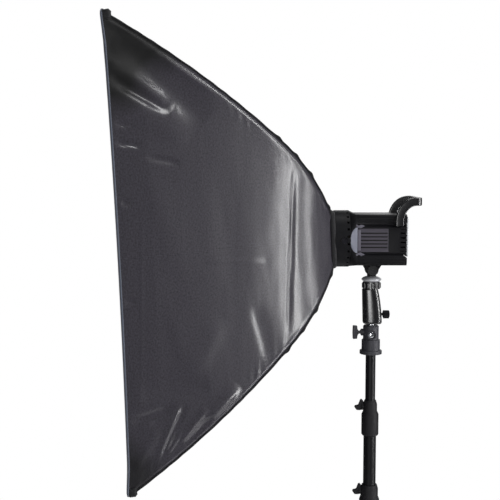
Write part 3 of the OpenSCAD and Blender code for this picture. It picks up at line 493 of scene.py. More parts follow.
# Creases and swells of the cloth: panel, from and to as (x, z) in mm on the tall panels or (x, y) on the
# wide ones, then width and height in mm. A height below 0 presses inwards. The cloth runs out flat at both
# ends of each, and one flank is steeper than the other.
fold = {"reach": 4, "steepFlank": 1.35, "softFlank": 0.8, "taper": 3}
creases = [
    ("near", (-496, 1658), (-322, 1553), 17, 5.2),
    ("near", (-514, 1644), (-355, 1494), 30, -7),
    ("near", (-532, 1595), (-424, 1527), 11, 4.0),
    ("near", (-530, 1577), (-417, 1512), 15, -6.5),
    ("near", (-525, 1547), (-384, 1459), 34, 2.5),
    ("near", (-510, 1681), (-532, 1606), 20, -3),
    ("near", (-521, 1486), (-487, 1487), 4, -2.6),
    ("near", (-521, 1452), (-472, 1447), 4, -3.4),
    ("near", (-467, 1426), (-403, 1413), 5, -2.4),
    ("near", (-511, 1338), (-493, 1336), 4, -2.6),
    ("near", (-474, 1330), (-477, 944), 2.5, 0.5),
    ("near", (-356, 1222), (-237, 1216), 5, 0.9),
    ("near", (-506, 1148), (-486, 1150), 4, -2.6),
    ("near", (-497, 915), (-414, 938), 9, -3.2),
    ("near", (-480, 964), (-347, 975), 22, -3),
    ("near", (-461, 909), (-412, 926), 6, -2),
    ("near", (-449, 835), (-405, 941), 5, 2.4),
    ("near", (-439, 846), (-391, 943), 5, -2.2),
    ("near", (-430, 846), (-399, 892), 4, 2),
    ("near", (-405, 867), (-351, 931), 6, 3),
    ("near", (-394, 860), (-337, 917), 5, -2.4),
    ("near", (-355, 903), (-288, 968), 12, 3.4),
    ("near", (-385, 983), (-323, 1105), 24, 1.6),
    ("near", (-494, 824), (-443, 897), 12, 2),
    ("near", (-178, 1405), (-189, 1062), 5, -1.7),
    ("near", (-187, 1330), (-183, 1140), 3, 0.5),
    ("near", (-420, 1130), (-395, 1010), 16, 0.9),
    ("near", (-455, 1390), (-400, 1180), 26, 1.1),
    ("near", (-330, 1420), (-300, 1150), 30, -1.0),
    ("near", (-260, 1130), (-225, 1000), 14, -1.2),
    ("far", (-500, 1640), (-330, 1520), 26, -5),
    ("far", (-515, 1590), (-400, 1500), 14, 3.5),
    ("far", (-500, 860), (-400, 960), 18, -4),
    ("far", (-470, 830), (-370, 930), 8, 3),
    ("far", (-440, 850), (-330, 960), 9, -2.5),
    ("far", (-300, 1420), (-240, 1100), 26, 2),
    ("top", (-500, -270), (-380, -120), 16, -4),
    ("top", (-505, 260), (-400, 130), 18, -4),
    ("top", (-470, -240), (-340, -140), 9, 2.5),
    ("top", (-330, -150), (-240, 120), 30, 2.5),
    ("bottom", (-460, -270), (-340, -130), 16, -4),
    ("bottom", (-470, 250), (-360, 140), 15, -3.5),
    ("bottom", (-430, 240), (-300, 120), 8, 2.5),
    ("bottom", (-300, -120), (-220, 100), 26, 2.5),
]


def creaseLift(name, x, y, z, widen=0):
    across = z if name in ("near", "far") else y
    lift = 0.0
    for panel, (x0, a0), (x1, a1), width, height in creases:
        if panel != name:
            continue
        width *= widen or 1
        ex, ea = x1 - x0, a1 - a0
        length = math.hypot(ex, ea)
        along = ((x - x0) * ex + (across - a0) * ea) / length / length
        aside = ((x - x0) * ea - (across - a0) * ex) / length / width
        if 0 < along < 1 and abs(aside) < fold["reach"]:
            steep = aside * (fold["steepFlank"] if aside > 0 else fold["softFlank"])
            lift += height * (1 - abs(2 * along - 1) ** fold["taper"]) * math.exp(-steep * steep)
    return lift


def ride(top, share):
    # the cloth rides high on the upper rods and lies close on the lower ones, in mm
    return (box["rideTop"] if top else box["rideLow"]) * min(1, box["rideRun"] * share)


def coverPoint(u, v, stand=box["stand"]):
    # u from 0 to 1 round the box, v from 0 at the ring to 1 at the hem, in mm
    share = v * endShare
    halfHeight, halfWidth, forward = seam(share, stand)
    corner = box["corner"] if stand == box["stand"] else box["lining"]["corner"]
    up, across, name, s, lateral = girth(u * columns, halfHeight, halfWidth, corner)
    middle = 1 - s * s
    swell = math.sin(math.pi * min(v * box["bowPeak"], 1)) ** box["bowFlat"]
    bow = box["bow"] * middle * swell + box["bowHem"] * middle * v * v
    if name in ("near", "far"):
        across -= bow * (1 if across > 0 else -1)
    else:
        up -= bow * (1 if up > 0 else -1)
    forward -= box["dip"] * middle * max(0.0, (v - box["dipFrom"]) / box["dipRun"])
    up += ride(up > 0, v)
    # the rod tips pull the corners out
    ear = max(0.0, 1 - (1 - abs(s)) / box["earWide"]) * max(0.0, (v - box["earFrom"]) / box["earRun"])
    up += ear * (box["earUp"] if up > 0 else box["earDown"])
    across += box["earOut"] * ear * (1 if across > 0 else -1)
    forward += box["earForward"] * ear
    return up, across, forward, name, s, lateral, share


looseness = {  # of the cloth between the folds, in mm; puckers is how many there are from ring to hem
    "calm": 8, "hang": 3.5, "hangRun": 40,
    "pucker": 1.3, "puckers": 19, "puckerFade": 16, "patch": 90, "patchRate": 9, "patchBias": 0.15,
    "stray": 4, "strayRate": 17, "strayAcross": 0.01,
    "drifts": ((0.8, 75, 300), (0.14, 17, 60)),  # height, length, length upwards
}


def clothLift(name, s, share, place, widen):
    # how far the cloth stands off its smooth shape at a place, in mm
    x, y, z = place / mm
    half = seam(share, box["stand"])[0 if name in ("near", "far") else 1]
    fromSeam = (1 - abs(s)) * half
    calm = min(1, fromSeam / looseness["calm"])
    if widen:  # the lining hangs inside every crease of the cover
        hang = looseness["hang"] * min(1, fromSeam / looseness["hangRun"])
        return min(0.0, creaseLift(name, x, y, z, widen)) * calm - hang
    patch = looseness["patch"]
    uneven = max(0.0, noise.noise(Vector((share * looseness["patchRate"], y / patch, z / patch)))
                 + looseness["patchBias"])
    stray = looseness["stray"] * math.sin(share * looseness["strayRate"] + y * looseness["strayAcross"])
    wave = math.sin(share * 2 * math.pi * looseness["puckers"] + stray)
    pucker = looseness["pucker"] * uneven * wave * math.exp(-fromSeam / looseness["puckerFade"])
    drift = sum(high * noise.noise(Vector((x / wide, y / wide, z / tall)))
                for high, wide, tall in looseness["drifts"])
    return (creaseLift(name, x, y, z) + pucker + drift) * calm


# Painted shade at the two front corners of the box: there the cloth is coloured near black and left
# uncoated. It starts at a slanting line through (x, z) and fades in over some mm.
paintedCornerShade = [
    {"x": -400, "z": 1582, "back": 0.75, "up": 0.9, "wander": 28, "wave": 60, "seed": 0, "fade": 60,
     "most": 1.0},
    {"x": -470, "z": 870, "back": 0.85, "up": -0.8, "wander": 20, "wave": 50, "seed": 3, "fade": 50,
     "most": 0.8},
]


def paintedShadeAt(x, z):
    # how much painted shade the cloth takes at a place, from 0 to 1
    shares = []
    for d in paintedCornerShade:
        wander = d["wander"] * noise.noise(Vector((x / d["wave"], z / d["wave"], d["seed"])))
        past = d["up"] * (z - d["z"]) - d["back"] * (x - d["x"]) + wander
        shares.append(d["most"] * min(1.0, max(0.0, past / d["fade"])))
    return max(shares)


def makeSheetOfBox(name, finish, rows, step, stand, widen, stands):
    bm = bmesh.new()
    # per-vertex mask of the painted shade at the front corners, read by the cloth's material
    paintedShade = bm.verts.layers.float.new("paintedShade")
    cut = bm.loops.layers.uv.new("cut")
    bmesh.ops.create_grid(bm, x_segments=columns // step, y_segments=rows, size=1)
    names = [n for n, _ in panels]
    spots = {vert: ((vert.co.x + 1) / 2, (vert.co.y + 1) / 2) for vert in bm.verts}
    for face in bm.faces:
        middle = sum(spots[loop.vert][0] for loop in face.loops) / 4
        home = names.index(coverPoint(middle, 0.5)[3])
        for loop in face.loops:
            u, v = spots[loop.vert]
            u = min(max(u, middle - 0.49 * step / columns), middle + 0.49 * step / columns)
            loop[cut].uv = (coverPoint(u, v)[5] * mm + 0.5 * home, v * box["length"] * endShare * mm)
    facts = {}
    for vert in bm.verts:
        up, across, forward, panel, s, _, share = coverPoint(*spots[vert], stand)
        vert.co = boxPlace @ (Vector((up, across, forward)) * mm)
        facts[vert] = (panel, s, share)
    bm.normal_update()
    inside = Vector(box["inside"]) * mm
    inward = sum((f.calc_center_median() - inside).dot(f.normal) for f in bm.faces) < 0
    lifts = {vert: clothLift(*facts[vert], vert.co, widen) for vert in bm.verts}
    # write the painted shade at the front corners onto each vertex
    for vert in bm.verts:
        vert[paintedShade] = paintedShadeAt(vert.co.x / mm, vert.co.z / mm)
    for vert, lift in lifts.items():
        vert.co += vert.normal * lift * mm * (-1 if inward else 1)
    bmesh.ops.remove_doubles(bm, verts=bm.verts, dist=1e-5)
    if inward != (finish == "silverLining"):
        bmesh.ops.reverse_faces(bm, faces=bm.faces)
    area = sum(f.calc_area() for f in bm.faces)
    sheet = makePiece(name, bm, "softbox", finish, stands=stands)


def makeCover():
    makeSheetOfBox("cover_sheet", "satinNylon", box["rows"], 1, box["stand"], 0,
                   ("cover_top", "cover_bottom", "cover_left", "cover_right"))
    lining = box["lining"]
    makeSheetOfBox("lining_sheet", "silverLining", lining["rows"], lining["thin"], lining["stand"],
                   lining["widen"], ())


hemTape = {"section": ((1.0, -2.8), (1.2, -0.4), (0.8, 0.9), (-0.8, 0.9), (-1.2, -0.4), (-1.0, -2.8)),
           "cornerSlope": 0.66}


def makeHemTape():
    # pale tape folded over the front edge of the cover
    bm = bmesh.new()
    rings = []
    for k in range(columns):
        up, across, forward, *_ = coverPoint(k / columns, 1.0)
        out = Vector((0, across, 0)) if abs(across) > abs(up) * hemTape["cornerSlope"] else Vector((up, 0, 0))
        out.normalize()
        here = Vector((up, across, forward))
        rings.append([boxPlace @ ((here + out * a + Vector((0, 0, b))) * mm) for a, b in hemTape["section"]])
    rings.append(rings[0])
    loft(bm, rings, caps=False)
    bmesh.ops.remove_doubles(bm, verts=bm.verts, dist=1e-6)
    bmesh.ops.recalc_face_normals(bm, faces=bm.faces)
    makePiece("hem_tape", bm, "softbox", "grosgrain", stands=("front_hem",))


def cutMap(bm):
    # a plain cut map for small cloth pieces: place along the two longest sides, in metres
    layer = bm.loops.layers.uv.new("cut")
    for face in bm.faces:
        drop = max(range(3), key=lambda i: abs(face.normal[i]))
        for loop in face.loops:
            loop[layer].uv = [loop.vert.co[i] for i in range(3) if i != drop]


binding = {"insetTop": 4.0, "insetLow": 1.9, "inside": 2.0, "proud": 3.2, "thick": 1.3, "steps": 170,
           "from": 0.005, "short": 0.012, "probeOut": 10, "probeOn": 0.01, "leanUp": 3, "leanOut": 4,
           "wave": 0.7, "waveRate": 0.55, "stray": 1.5, "strayRate": 0.13, "shoulder": 0.6, "tip": 0.5,
           "flaps": ((0.17, 3.0), (0.255, 2.2), (0.34, 2.8), (0.03, 2.5)), "flapLength": 0.012}
corners = [("upperFar", 1, 1), ("lowerFar", -1, 1), ("lowerNear", -1, -1), ("upperNear", 1, -1)]


def makeBindings():
    # sewn tape that stands out along each corner seam
    for name, su, sa in corners:
        rings = []
        for k in range(binding["steps"] + 1):
            share = binding["from"] + k / binding["steps"] * (endShare - binding["short"])
            a, b, c = seam(share, box["stand"])
            a2, b2, c2 = seam(share, box["stand"] + binding["probeOut"])
            a3, b3, c3 = seam(share + binding["probeOn"], box["stand"])
            inset = binding["insetTop"] if su > 0 else binding["insetLow"]
            here = Vector((su * (a - inset) + ride(su > 0, share), sa * (b - inset), c))
            out = Vector((su * (a2 - a + binding["leanUp"]), sa * (b2 - b + binding["leanOut"]),
                          c2 - c)).normalized()
            along = Vector((su * (a3 - a), sa * (b3 - b), c3 - c)).normalized()
            side = along.cross(out).normalized()
            proud = binding["proud"] + sum(h * math.exp(-((share - at) / binding["flapLength"]) ** 2)
                                           for at, h in binding["flaps"])
            stray = binding["stray"] * math.sin(k * binding["strayRate"])
            lean = side * binding["wave"] * math.sin(k * binding["waveRate"] + su + 2 * sa + stray)
            half, tip, shoulder = binding["thick"] / 2, binding["tip"], proud * binding["shoulder"]
            rings.append([boxPlace @ ((here + out * d + side * w + lean * max(0, d) / proud) * mm) for d, w in
                          ((-binding["inside"], half), (shoulder, half), (proud, half * tip),
                           (proud, -half * tip), (shoulder, -half), (-binding["inside"], -half))])
        bm = loft(bmesh.new(), rings)
        cutMap(bm)
        makePiece("binding_" + name, bm, "softbox", "bindingTape", crease=50)


rim = {"halfSize": 59.0, "corner": (20.0,) * 4, "height": 3.4, "depth": 6.0, "forward": -0.5, "around": 160,
       "section": 12, "gathers": 46, "ruck": 0.7}


def makeRim():
    # elastic casing that draws the cloth in behind the speed ring
    rings = []
    for k in range(rim["around"]):
        up, across, *_ = girth(k / rim["around"] * columns, rim["halfSize"], rim["halfSize"], rim["corner"])
        out = Vector((up, across, 0)).normalized()
        ruck = rim["ruck"] * math.sin(k / rim["around"] * 2 * math.pi * rim["gathers"])
        ring = []
        for j in range(rim["section"]):
            a = j / rim["section"] * 2 * math.pi
            ring.append(boxPlace @ ((Vector((up, across, rim["forward"])) + out * (rim["height"] + ruck)
                                     * math.cos(a) + Vector((0, 0, rim["depth"] * math.sin(a)))) * mm))
        rings.append(ring)
    bm = loft(bmesh.new(), rings + [rings[0]], caps=False)
    bmesh.ops.remove_doubles(bm, verts=bm.verts, dist=1e-6)
    bmesh.ops.recalc_face_normals(bm, faces=bm.faces)
    cutMap(bm)
    makePiece("rear_rim", bm, "softbox", "bindingTape")


# out: up, across, forward
boot = {"size": (19, 16, 17), "round": 5, "segments": 5, "lump": 1.1, "lumpRates": (0.7, 0.9, 0.6),
        "out": (0.8, 2.2, 2.5)}


def makeBoots():
    # folded pocket over each rod tip
    for name, su, sa in corners:
        up, across, forward = seam(endShare, box["stand"])
        bm = bmesh.new()
        bmesh.ops.create_cube(bm, size=1, matrix=Matrix.Diagonal(Vector(boot["size"]) * mm).to_4x4())
        bmesh.ops.bevel(bm, geom=bm.edges[:], offset=boot["round"] * mm, offset_type="OFFSET", affect="EDGES",
                        segments=boot["segments"], profile=0.5, material=-1)
        bmesh.ops.subdivide_edges(bm, edges=bm.edges, cuts=1, use_grid_fill=True)
        for vert in bm.verts:
            p = vert.co / mm
            i, j, k = boot["lumpRates"]
            rowWave, layWave = math.sin(p.x * i + su), math.cos(p.y * j + p.z * k + sa)
            vert.co += vert.co.normalized() * boot["lump"] * mm * rowWave * layWave
        high, wide, deep = (spot - size / 2 + out
                            for spot, size, out in zip((up, across, forward), boot["size"], boot["out"]))
        place = Vector((su * high + ride(su > 0, 1), sa * wide, deep)) * mm
        bmesh.ops.transform(bm, matrix=boxPlace @ Matrix.Translation(place), verts=bm.verts)
        cutMap(bm)
        makePiece("boot_" + name, bm, "softbox", "bindingTape", stands=("corner_boots",))


diffuserCloth = {"fans": 11, "fanReach": 90, "fanCalm": 25, "hem": 1.2, "hemWide": 9, "slack": 0.8,
                 "slackUp": (9, 1.3), "slackAcross": (6, 0.4), "flatEdge": 12, "thick": 0.4}
diffusers = {
    "front": {"depth": 425, "half": (451, 298.5), "cells": (96, 64), "sag": 3.0, "pull": 2.2},
    "inner": {"depth": 210, "half": (250, 160), "cells": (60, 40), "sag": 4.0, "pull": 1.5},
}


def diffuserSheet(name, facts, stands):
    c, (halfUp, halfAcross) = diffuserCloth, facts["half"]
    bm = bmesh.new()
    bmesh.ops.create_grid(bm, x_segments=facts["cells"][0], y_segments=facts["cells"][1], size=1)
    layer = bm.loops.layers.uv.new("cut")
    for face in bm.faces:
        for loop in face.loops:
            loop[layer].uv = (loop.vert.co.x * halfUp * mm, loop.vert.co.y * halfAcross * mm)
    for vert in bm.verts:
        s, t = vert.co.x, vert.co.y
        belly = facts["sag"] * (1 - s * s) * (1 - t * t)
        fromCorner = math.hypot((1 - abs(s)) * halfUp, (1 - abs(t)) * halfAcross)
        turn = math.atan2((1 - abs(t)) * halfAcross + 1e-6, (1 - abs(s)) * halfUp + 1e-6)
        fade = math.exp(-fromCorner / c["fanReach"]) * min(1, fromCorner / c["fanCalm"]) * math.sin(turn * 2)
        folds = facts["pull"] * math.sin(turn * c["fans"] + s + 2 * t) * fade
        hem = sum(c["hem"] * math.exp(-((1 - abs(a)) * half / c["hemWide"]) ** 2)
                  for a, half in ((s, halfUp), (t, halfAcross)))
        (i, j), (k, l) = c["slackUp"], c["slackAcross"]
        slack = c["slack"] * math.sin(s * i + j) * math.sin(t * k + l)
        depth = facts["depth"] + belly + (folds + slack) * (1 - max(abs(s), abs(t)) ** c["flatEdge"]) + hem
        vert.co = boxPlace @ (Vector((s * halfUp, t * halfAcross, depth)) * mm)
    bm.normal_update()
    if sum(f.normal.x for f in bm.faces) > 0:
        bmesh.ops.reverse_faces(bm, faces=bm.faces)
    sheet = makePiece(name, bm, "softbox", "diffuserNylon", stands=stands)
    skin = sheet.modifiers.new("cloth", "SOLIDIFY")
    skin.thickness, skin.offset = c["thick"] * mm, 0
    return sheet


strap = {"inset": 4, "proud": 0.8, "inside": -2, "search": 0.002, "steps": 12, "halfWide": 5,
         "halfThick": 0.5, "wave": 0.6, "waveRate": 1.1}


def makeDiffusers():
    front = diffuserSheet("front_diffuser_sheet", diffusers["front"], ("front_diffuser",))
    inner = diffuserSheet("inner_diffuser_sheet", diffusers["inner"], ("inner_diffuser",))
    for name, su, sa in corners:
        halfUp, halfAcross = diffusers["inner"]["half"]
        share = 0.0
        while seam(share, strap["inside"])[2] < diffusers["inner"]["depth"]:
            share += strap["search"]
        up, across, forward = seam(share, strap["inside"])
        start = Vector((su * (halfUp - strap["inset"]), sa * (halfAcross - strap["inset"]),
                        diffusers["inner"]["depth"] + strap["proud"]))
        end = Vector((su * up, sa * across, forward))
        along = (end - start).normalized()
        side = along.cross(Vector((0, 0, 1))).normalized()
        wide, thick = strap["halfWide"], strap["halfThick"]
        rings = []
        for k in range(strap["steps"] + 1):
            middle = start.lerp(end, k / strap["steps"])
            wave = strap["wave"] * math.sin(k * strap["waveRate"])
            rings.append([boxPlace @ ((middle + side * w + Vector((0, 0, d + wave))) * mm)
                          for w, d in ((wide, thick), (wide, -thick), (-wide, -thick), (-wide, thick))])
        bm = loft(bmesh.new(), rings)
        cutMap(bm)
        makePiece("strap_" + name, bm, "softbox", "braidedElastic", crease=50)


lampZ = 1250
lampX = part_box("front_ring")[0].x / mm  # front face of the ring; what follows is measured from it
facet = {"x": 46.5, "reach": 15.5, "halfHeight": 27.5, "inside": 50, "face": 55.9, "rise": 5.9, "points": 30,
         "round": 0.5}
trim = {"outline": ((53.5, 26.0), (62.5, 31.0), (54.5, 33.5), (49.5, 31.5), (38.0, 36.5), (47.4, 27.0)),
        "thick": 0.9, "from": 53.2, "skin": 54.9,
        "strip": ((53.5, -22), (53.5, 22), (47.4, 22), (47.4, -22)), "stripFrom": 54.2, "stripSkin": 55.1,
        "round": 0.2}
lobeRib = {"heights": (39.0, 46.0), "width": 1.7, "proud": 1.0, "outerLower": 0.4, "from": 50, "to": 148,
           "inside": 53.0, "skin": 55, "round": 0.5}
# black strips in the grooves of the side panels
inlay = {"pitch": 7.6, "width": 2.9, "from": 50, "to": 111, "inside": 54.6, "skin": 55.5, "proud": 0.15,
         "round": 0.2}
handle = {"x": 172.0, "z": 40, "reach": 36, "radius": 43, "halfWide": 8.8, "halfThick": 4.8, "bend": 7,
          "side": 60, "round": 2.4, "arcSteps": 26, "bendSteps": 7, "below": 9, "belowSteps": 4,
          "roundSteps": 5}


def stripe(bar, z):
    # outline of a straight bar along the lamp, centred at height z
    w = bar["width"] / 2
    return [(bar["from"], z - w), (bar["to"], z - w), (bar["to"], z + w), (bar["from"], z + w)]


def makeLampTrim():
    for side, s in (("near", -1), ("far", 1)):
        def place(a, b, h):
            return (lampX + a, s * h, lampZ + b)
        bm = bmesh.new()
        arc = [k / facet["points"] * math.pi for k in range(facet["points"] + 1)]
        half = [(facet["x"] - facet["reach"] * math.sin(a), facet["halfHeight"] * math.cos(a)) for a in arc]
        outlineBlock(bm, half, facet["inside"], facet["face"], place)
        for vert in bm.verts:
            if abs(vert.co.y) > (facet["face"] - 0.1) * mm:  # the outer face leans out to meet the ring
                vert.co.y += s * facet["rise"] * mm * (facet["x"] + lampX - vert.co.x / mm) / facet["reach"]
        bevelEdges(bm, facet["round"])
        # the half discs take the lighter copy of the paint, a painted highlight
        makePiece("half_disc_" + side, bm, "lamp_head", "paintedHighlightAbs", crease=35)
        bm = bmesh.new()
        for flip in (1, -1):
            outlineBlock(bm, [(x, flip * z) for x, z in trim["outline"]], trim["from"],
                         trim["skin"] + trim["thick"], place)
        outlineBlock(bm, trim["strip"], trim["stripFrom"], trim["stripSkin"] + trim["thick"], place)
        bevelEdges(bm, trim["round"], 2)
        makePiece("groove_trim_" + side, bm, "lamp_head", "paintedAbs", crease=35)
        bm = bmesh.new()
        for flip in (1, -1):
            for height in lobeRib["heights"]:
                top = lobeRib["skin"] + lobeRib["proud"]
                if height > lobeRib["heights"][0]:
                    top -= lobeRib["outerLower"]
                outlineBlock(bm, stripe(lobeRib, flip * height), lobeRib["inside"], top, place)
        bevelEdges(bm, lobeRib["round"])
        makePiece("lobe_ribs_" + side, bm, "lamp_head", "mouldedAbs", crease=40)
        bm = bmesh.new()
        for i in range(-2, 3):
            outlineBlock(bm, stripe(inlay, i * inlay["pitch"]), inlay["inside"],
                         inlay["skin"] + inlay["proud"], place)
        bevelEdges(bm, inlay["round"], 2)
        makePiece("panel_inlays_" + side, bm, "lamp_head", "mouldedRubber", crease=40)


def makeHandle():
    # one rounded bar bent up from both sides of the casing and across behind them
    h = handle
    stations = []  # centre, radial direction, sideways direction
    for k in range(-h["belowSteps"], h["arcSteps"] + 1):
        a = k / h["arcSteps"] * math.pi / 2
        if k < 0:
            stations.append((Vector((-h["reach"], -h["side"], k * h["below"] / h["belowSteps"])),
                             Vector((-1, 0, 0)), Vector((0, 1, 0))))
        else:
            stations.append((Vector((-h["reach"] * math.cos(a), -h["side"], h["radius"] * math.sin(a))),
                             Vector((-math.cos(a), 0, math.sin(a))), Vector((0, 1, 0))))
    for k in range(1, h["bendSteps"] + 1):
        a = k / h["bendSteps"] * math.pi / 2
        stations.append((Vector((h["bend"] * math.sin(a), -h["side"] + h["bend"] * (1 - math.cos(a)),
                                 h["radius"])), Vector((0, 0, 1)), Vector((-math.sin(a), math.cos(a), 0))))
    stations += [(Vector((c.x, -c.y, c.z)), r, Vector((w.x, -w.y, w.z))) for c, r, w in stations[::-1]]
    corner = [k / h["roundSteps"] * math.pi / 2 for k in range(h["roundSteps"] + 1)]
    rings = []
    for centre, radial, sideways in stations:
        section = []
        for q, (sr, ss) in enumerate(((1, 1), (-1, 1), (-1, -1), (1, -1))):
            for a in corner if q % 2 == 0 else corner[::-1]:
                r = sr * (h["halfWide"] - h["round"] + h["round"] * math.cos(a))
                w = ss * (h["halfThick"] - h["round"] + h["round"] * math.sin(a))
                section.append(r * radial + w * sideways)
        rings.append([(centre + p + Vector((lampX + h["x"], 0, lampZ + h["z"]))) * mm for p in section])
    makePiece("handle_bar", loft(bmesh.new(), rings), "lamp_head", "polishedAbs", crease=50,
              stands=("handle",))


gripShape = {"top": 1138.5, "bottom": 1062, "left": (-20.5, -19.6, -18.6), "right": (14.0, 20.5, 23.0),
             "halfDepth": (18.0, 19.5, 20.0), "rings": 190, "pitch": 2.3, "ridge": 0.08,
             "ridgeMiddle": 0.05, "ridgeHalf": 0.62, "ridgeFace": 0.85, "ridgeSpan": (0.06, 0.93),
             "height": 77, "topRound": 5, "lowRound": 3, "lowStart": 0.4, "endShrink": 0.12}
gripSection = ((1.0, 0.0), (1.0, 0.30), (0.985, 0.48), (0.86, 0.78), (0.70, 0.90), (0.50, 0.96), (0.30, 0.99),
               (0.10, 1.0), (-0.12, 0.975), (-0.34, 0.935),
               (-0.55, 0.885), (-0.74, 0.78), (-0.88, 0.61), (-0.97, 0.35), (-1.0, 0.0))


def between(three, t):
    # smooth curve through three values, t from 0 to 1
    a, b, c = three
    return a * (1 - t) * (1 - 2 * t) + 4 * b * t * (1 - t) + c * t * (2 * t - 1)


def makeGrip():
    outline = list(gripSection) + [(a, -b) for a, b in gripSection[-2:0:-1]]
    g, rings = gripShape, []
    first, last = g["ridgeSpan"]
    for k in range(g["rings"] + 1):
        t = k / g["rings"]
        z = g["top"] + (g["bottom"] - g["top"]) * t
        left, right, deep = (between(g[key], t) for key in ("left", "right", "halfDepth"))
        ends = min(1.0, (1 - t) * g["height"] / g["topRound"],
                   t * g["height"] / g["lowRound"] + g["lowStart"])
        shrink = 1 - g["endShrink"] * (1 - math.sqrt(max(0.0, 1 - (1 - ends) ** 2)))
        ring = []
        for a, b in outline:
            ridge = 0.0
            if abs(b) > g["ridgeFace"] and first < t < last:
                ribbed = max(0.0, 1 - abs(a - g["ridgeMiddle"]) / g["ridgeHalf"]) ** 0.5
                ridge = g["ridge"] * ribbed * (0.5 - 0.5 * math.cos(2 * math.pi * z / g["pitch"]))
            x = (left + right) / 2 + a * (right - left) / 2 * shrink
            ring.append(Vector((x, b * deep * shrink + ridge * (1 if b > 0 else -1), z)) * mm)
        rings.append(ring)
    bm = loft(bmesh.new(), rings)
    makePiece("grip_shell", bm, "pan_head", "polishedAbs", crease=38, stands=("grip",))


wing = {"outline": ((0.0, -4.5), (-6.0, -5.5), (-12.5, -5.2), (-17.5, 2.0), (-16.0, 4.5), (-8.5, 6.5),
                    (-4.2, 18.0), (-1.2, 19.5), (3.0, 14.5), (4.0, 6.0)), "half": 4.2,
        "round": 1.6, "axisOut": 6.5, "hubRadii": (5.6, 4.8), "hubLength": 9, "hubBack": 1.5}


def makeWingKnob(node, body, upright=1):
    # two moulded wings on a hub, turning on the axis of the CAD knob
    low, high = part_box(node)
    outward = -1 if abs(low.x) > abs(high.x) else 1
    hubX = (high.x if outward < 0 else low.x) / mm + outward * wing["axisOut"]
    z0 = (low.z + high.z) / 2 / mm
    bm = bmesh.new()
    outlineBlock(bm, wing["outline"], -wing["half"], wing["half"],
                 lambda a, b, h: (hubX - outward * a, h, z0 + upright * b))
    bevelEdges(bm, wing["round"], 4)
    wide, narrow = wing["hubRadii"]
    hub = Matrix.Translation(Vector((hubX - outward * wing["hubBack"], 0, z0)) * mm)
    bmesh.ops.create_cone(bm, cap_ends=True, segments=32, radius1=wide * mm, radius2=narrow * mm,
                          depth=wing["hubLength"] * mm, matrix=hub @ Matrix.Rotation(math.pi / 2, 4, "Y"))
    makePiece(node + "_wings", bm, body, "filledNylon", crease=40, stands=(node,))


tKnob = {"outline": ((-16.0, -7.0), (-22.0, -7.5), (-23.5, -3.0), (-27.0, -2.6), (-30.0, -7.5),
                     (-30.5, -14.5), (-40.0, -15.0), (-40.6, 0.0), (-40.0, 15.0),
                     (-30.5, 14.5), (-30.0, 7.5), (-27.0, 2.6), (-23.5, 3.0), (-22.0, 7.5), (-16.0, 7.0)),
         "half": 5.0, "round": 1.5, "steep": 20}


def makeTKnob():
    low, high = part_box("head_t_knob")
    bm = bmesh.new()
    outlineBlock(bm, tKnob["outline"], -tKnob["half"], tKnob["half"],
                 lambda a, b, h: (a, h, (low.z + high.z) / 2 / mm + b))
    bevelEdges(bm, tKnob["round"], steep=tKnob["steep"])
    makePiece("t_knob_head", bm, "head_clamp", "powderCoat", crease=40, stands=("head_t_knob",))


lens = {"outline": ((0, 1139.2), (11.5, 1139.2), (11.5, 1153.4), (14, 1153.8), (18.5, 1156.0), (21.4, 1158.8),
                    (22, 1160.0), (21.4, 1161.4), (18.5, 1164.2), (13, 1166.4), (9, 1167.2), (0, 1167.2)),
        "turns": 72}
window = {"z": 1038.1, "face": -17.3, "rimRadius": 8.9, "rimTube": 1.35, "rimDeep": 1.3, "rimBack": 1.4,
          "points": 12, "turns": 48, "studRadius": 7.4, "studOut": 1.0, "studFlat": 0.42}


def makeLens():
    bm = bmesh.new()
    verts = [bm.verts.new(Vector((r, 0, z)) * mm) for r, z in lens["outline"]]
    edges = [bm.edges.new(pair) for pair in zip(verts, verts[1:])]
    bmesh.ops.spin(bm, geom=verts + edges, cent=(0, 0, 0), axis=(0, 0, 1), angle=2 * math.pi,
                   steps=lens["turns"], use_merge=True)
    bmesh.ops.remove_doubles(bm, verts=bm.verts, dist=1e-6)
    bmesh.ops.recalc_face_normals(bm, faces=bm.faces)
    makePiece("tension_lens", bm, "pan_head", "satinAluminium", crease=55, stands=("tension_disc",))


def makeWindow():
    # raised rim and the plated stud inside it, on the head casting
    bm = bmesh.new()
    count = window["points"]
    section = [(window["rimRadius"] + window["rimTube"] * math.cos(a),
                window["rimTube"] * window["rimDeep"] * math.sin(a))
               for a in [k / count * 2 * math.pi for k in range(count)]]
    verts = [bm.verts.new(Vector((r, window["face"] - window["rimBack"] + d, window["z"])) * mm)
             for r, d in section]
    edges = [bm.edges.new((verts[i], verts[(i + 1) % count])) for i in range(count)]
    bmesh.ops.spin(bm, geom=verts + edges, cent=Vector((0, 0, window["z"])) * mm, axis=(0, 1, 0),
                   angle=2 * math.pi, steps=window["turns"], use_merge=True)
    bmesh.ops.recalc_face_normals(bm, faces=bm.faces)
    makePiece("window_rim", bm, "top_section", "powderCoat")
    bm = bmesh.new()
    stud = Matrix.Translation(Vector((0, window["face"] + window["studOut"], window["z"])) * mm)
    bmesh.ops.create_uvsphere(bm, u_segments=40, v_segments=20, radius=window["studRadius"] * mm,
                              matrix=stud @ Matrix.Diagonal((1, window["studFlat"], 1, 1)))
    makePiece("window_stud", bm, "top_section", "chromePlate")


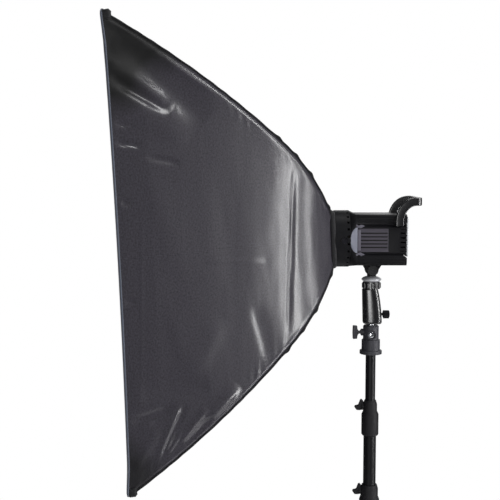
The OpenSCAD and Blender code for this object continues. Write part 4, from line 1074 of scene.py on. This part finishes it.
finished = [  # node, body, rounding in mm
    ("lamp_body", "lamp_head", 0.9), ("front_ring", "lamp_head", 0.8),
    ("side_panels", "lamp_head", 0.35), ("rear_fins", "lamp_head", 0.7),
    ("rear_panel", "lamp_head", 0.5), ("tilt_cheeks", "lamp_head", 1.0),
    ("lock_ring", "lock_collar", 0.7), ("head_casting", "top_section", 0.8),
    ("head_sleeve", "top_section", 0.9), ("upper_collar", "mid_section", 0.8),
    ("lower_collar", "stand_base", 0.8), ("base_hub", "stand_base", 0.8),
    ("leg_collar", "leg_slider", 0.8), ("tilt_knob", "tilt_handwheel", 0.6),
    ("grip_knob", "grip_clamp", 0.7),
]


def makeStage():
    bm = bmesh.new()
    bmesh.ops.create_circle(bm, cap_ends=True, segments=96, radius=view["floorRadius"])
    mesh = bpy.data.meshes.new("floor")
    bm.to_mesh(mesh)
    bm.free()
    floor = bpy.data.objects.new("floor", mesh)
    bpy.context.collection.objects.link(floor)
    material, tree, shader = newMaterial("studioPaper")
    place = addNode(tree, "ShaderNodeTexCoord")
    pulp = addNode(tree, "ShaderNodeTexNoise", {"Scale": 1 / (4 * mm), "Detail": 2.0},
                   {"Vector": place.outputs["Object"]})
    tone = addNode(tree, "ShaderNodeMix", {"data_type": "RGBA", 6: linear("#ececec"), 7: linear("#f4f4f4")},
                   {0: pulp.outputs["Fac"]})
    tree.links.new(tone.outputs[2], shader.inputs["Base Color"])
    setShader(shader, {"Roughness": 0.8})
    mesh.materials.append(material)


setUpView()
paintNodes()
print("soft box")
makeCover()
makeHemTape()
makeBindings()
makeRim()
makeBoots()
makeDiffusers()
print("lamp head")
makeLampTrim()
makeHandle()
print("grip and knobs")
makeGrip()
makeWingKnob("upper_collar_knob", "mid_clamp")
makeWingKnob("lower_collar_knob", "low_clamp")
makeWingKnob("leg_collar_knob", "slider_clamp", upright=-1)  # hangs, to clear the collar above when folded
makeTKnob()
makeLens()
makeWindow()
print("rounded copies")
for node, body, width in finished:
    finishedCopy(node, body, width)
makeStage()
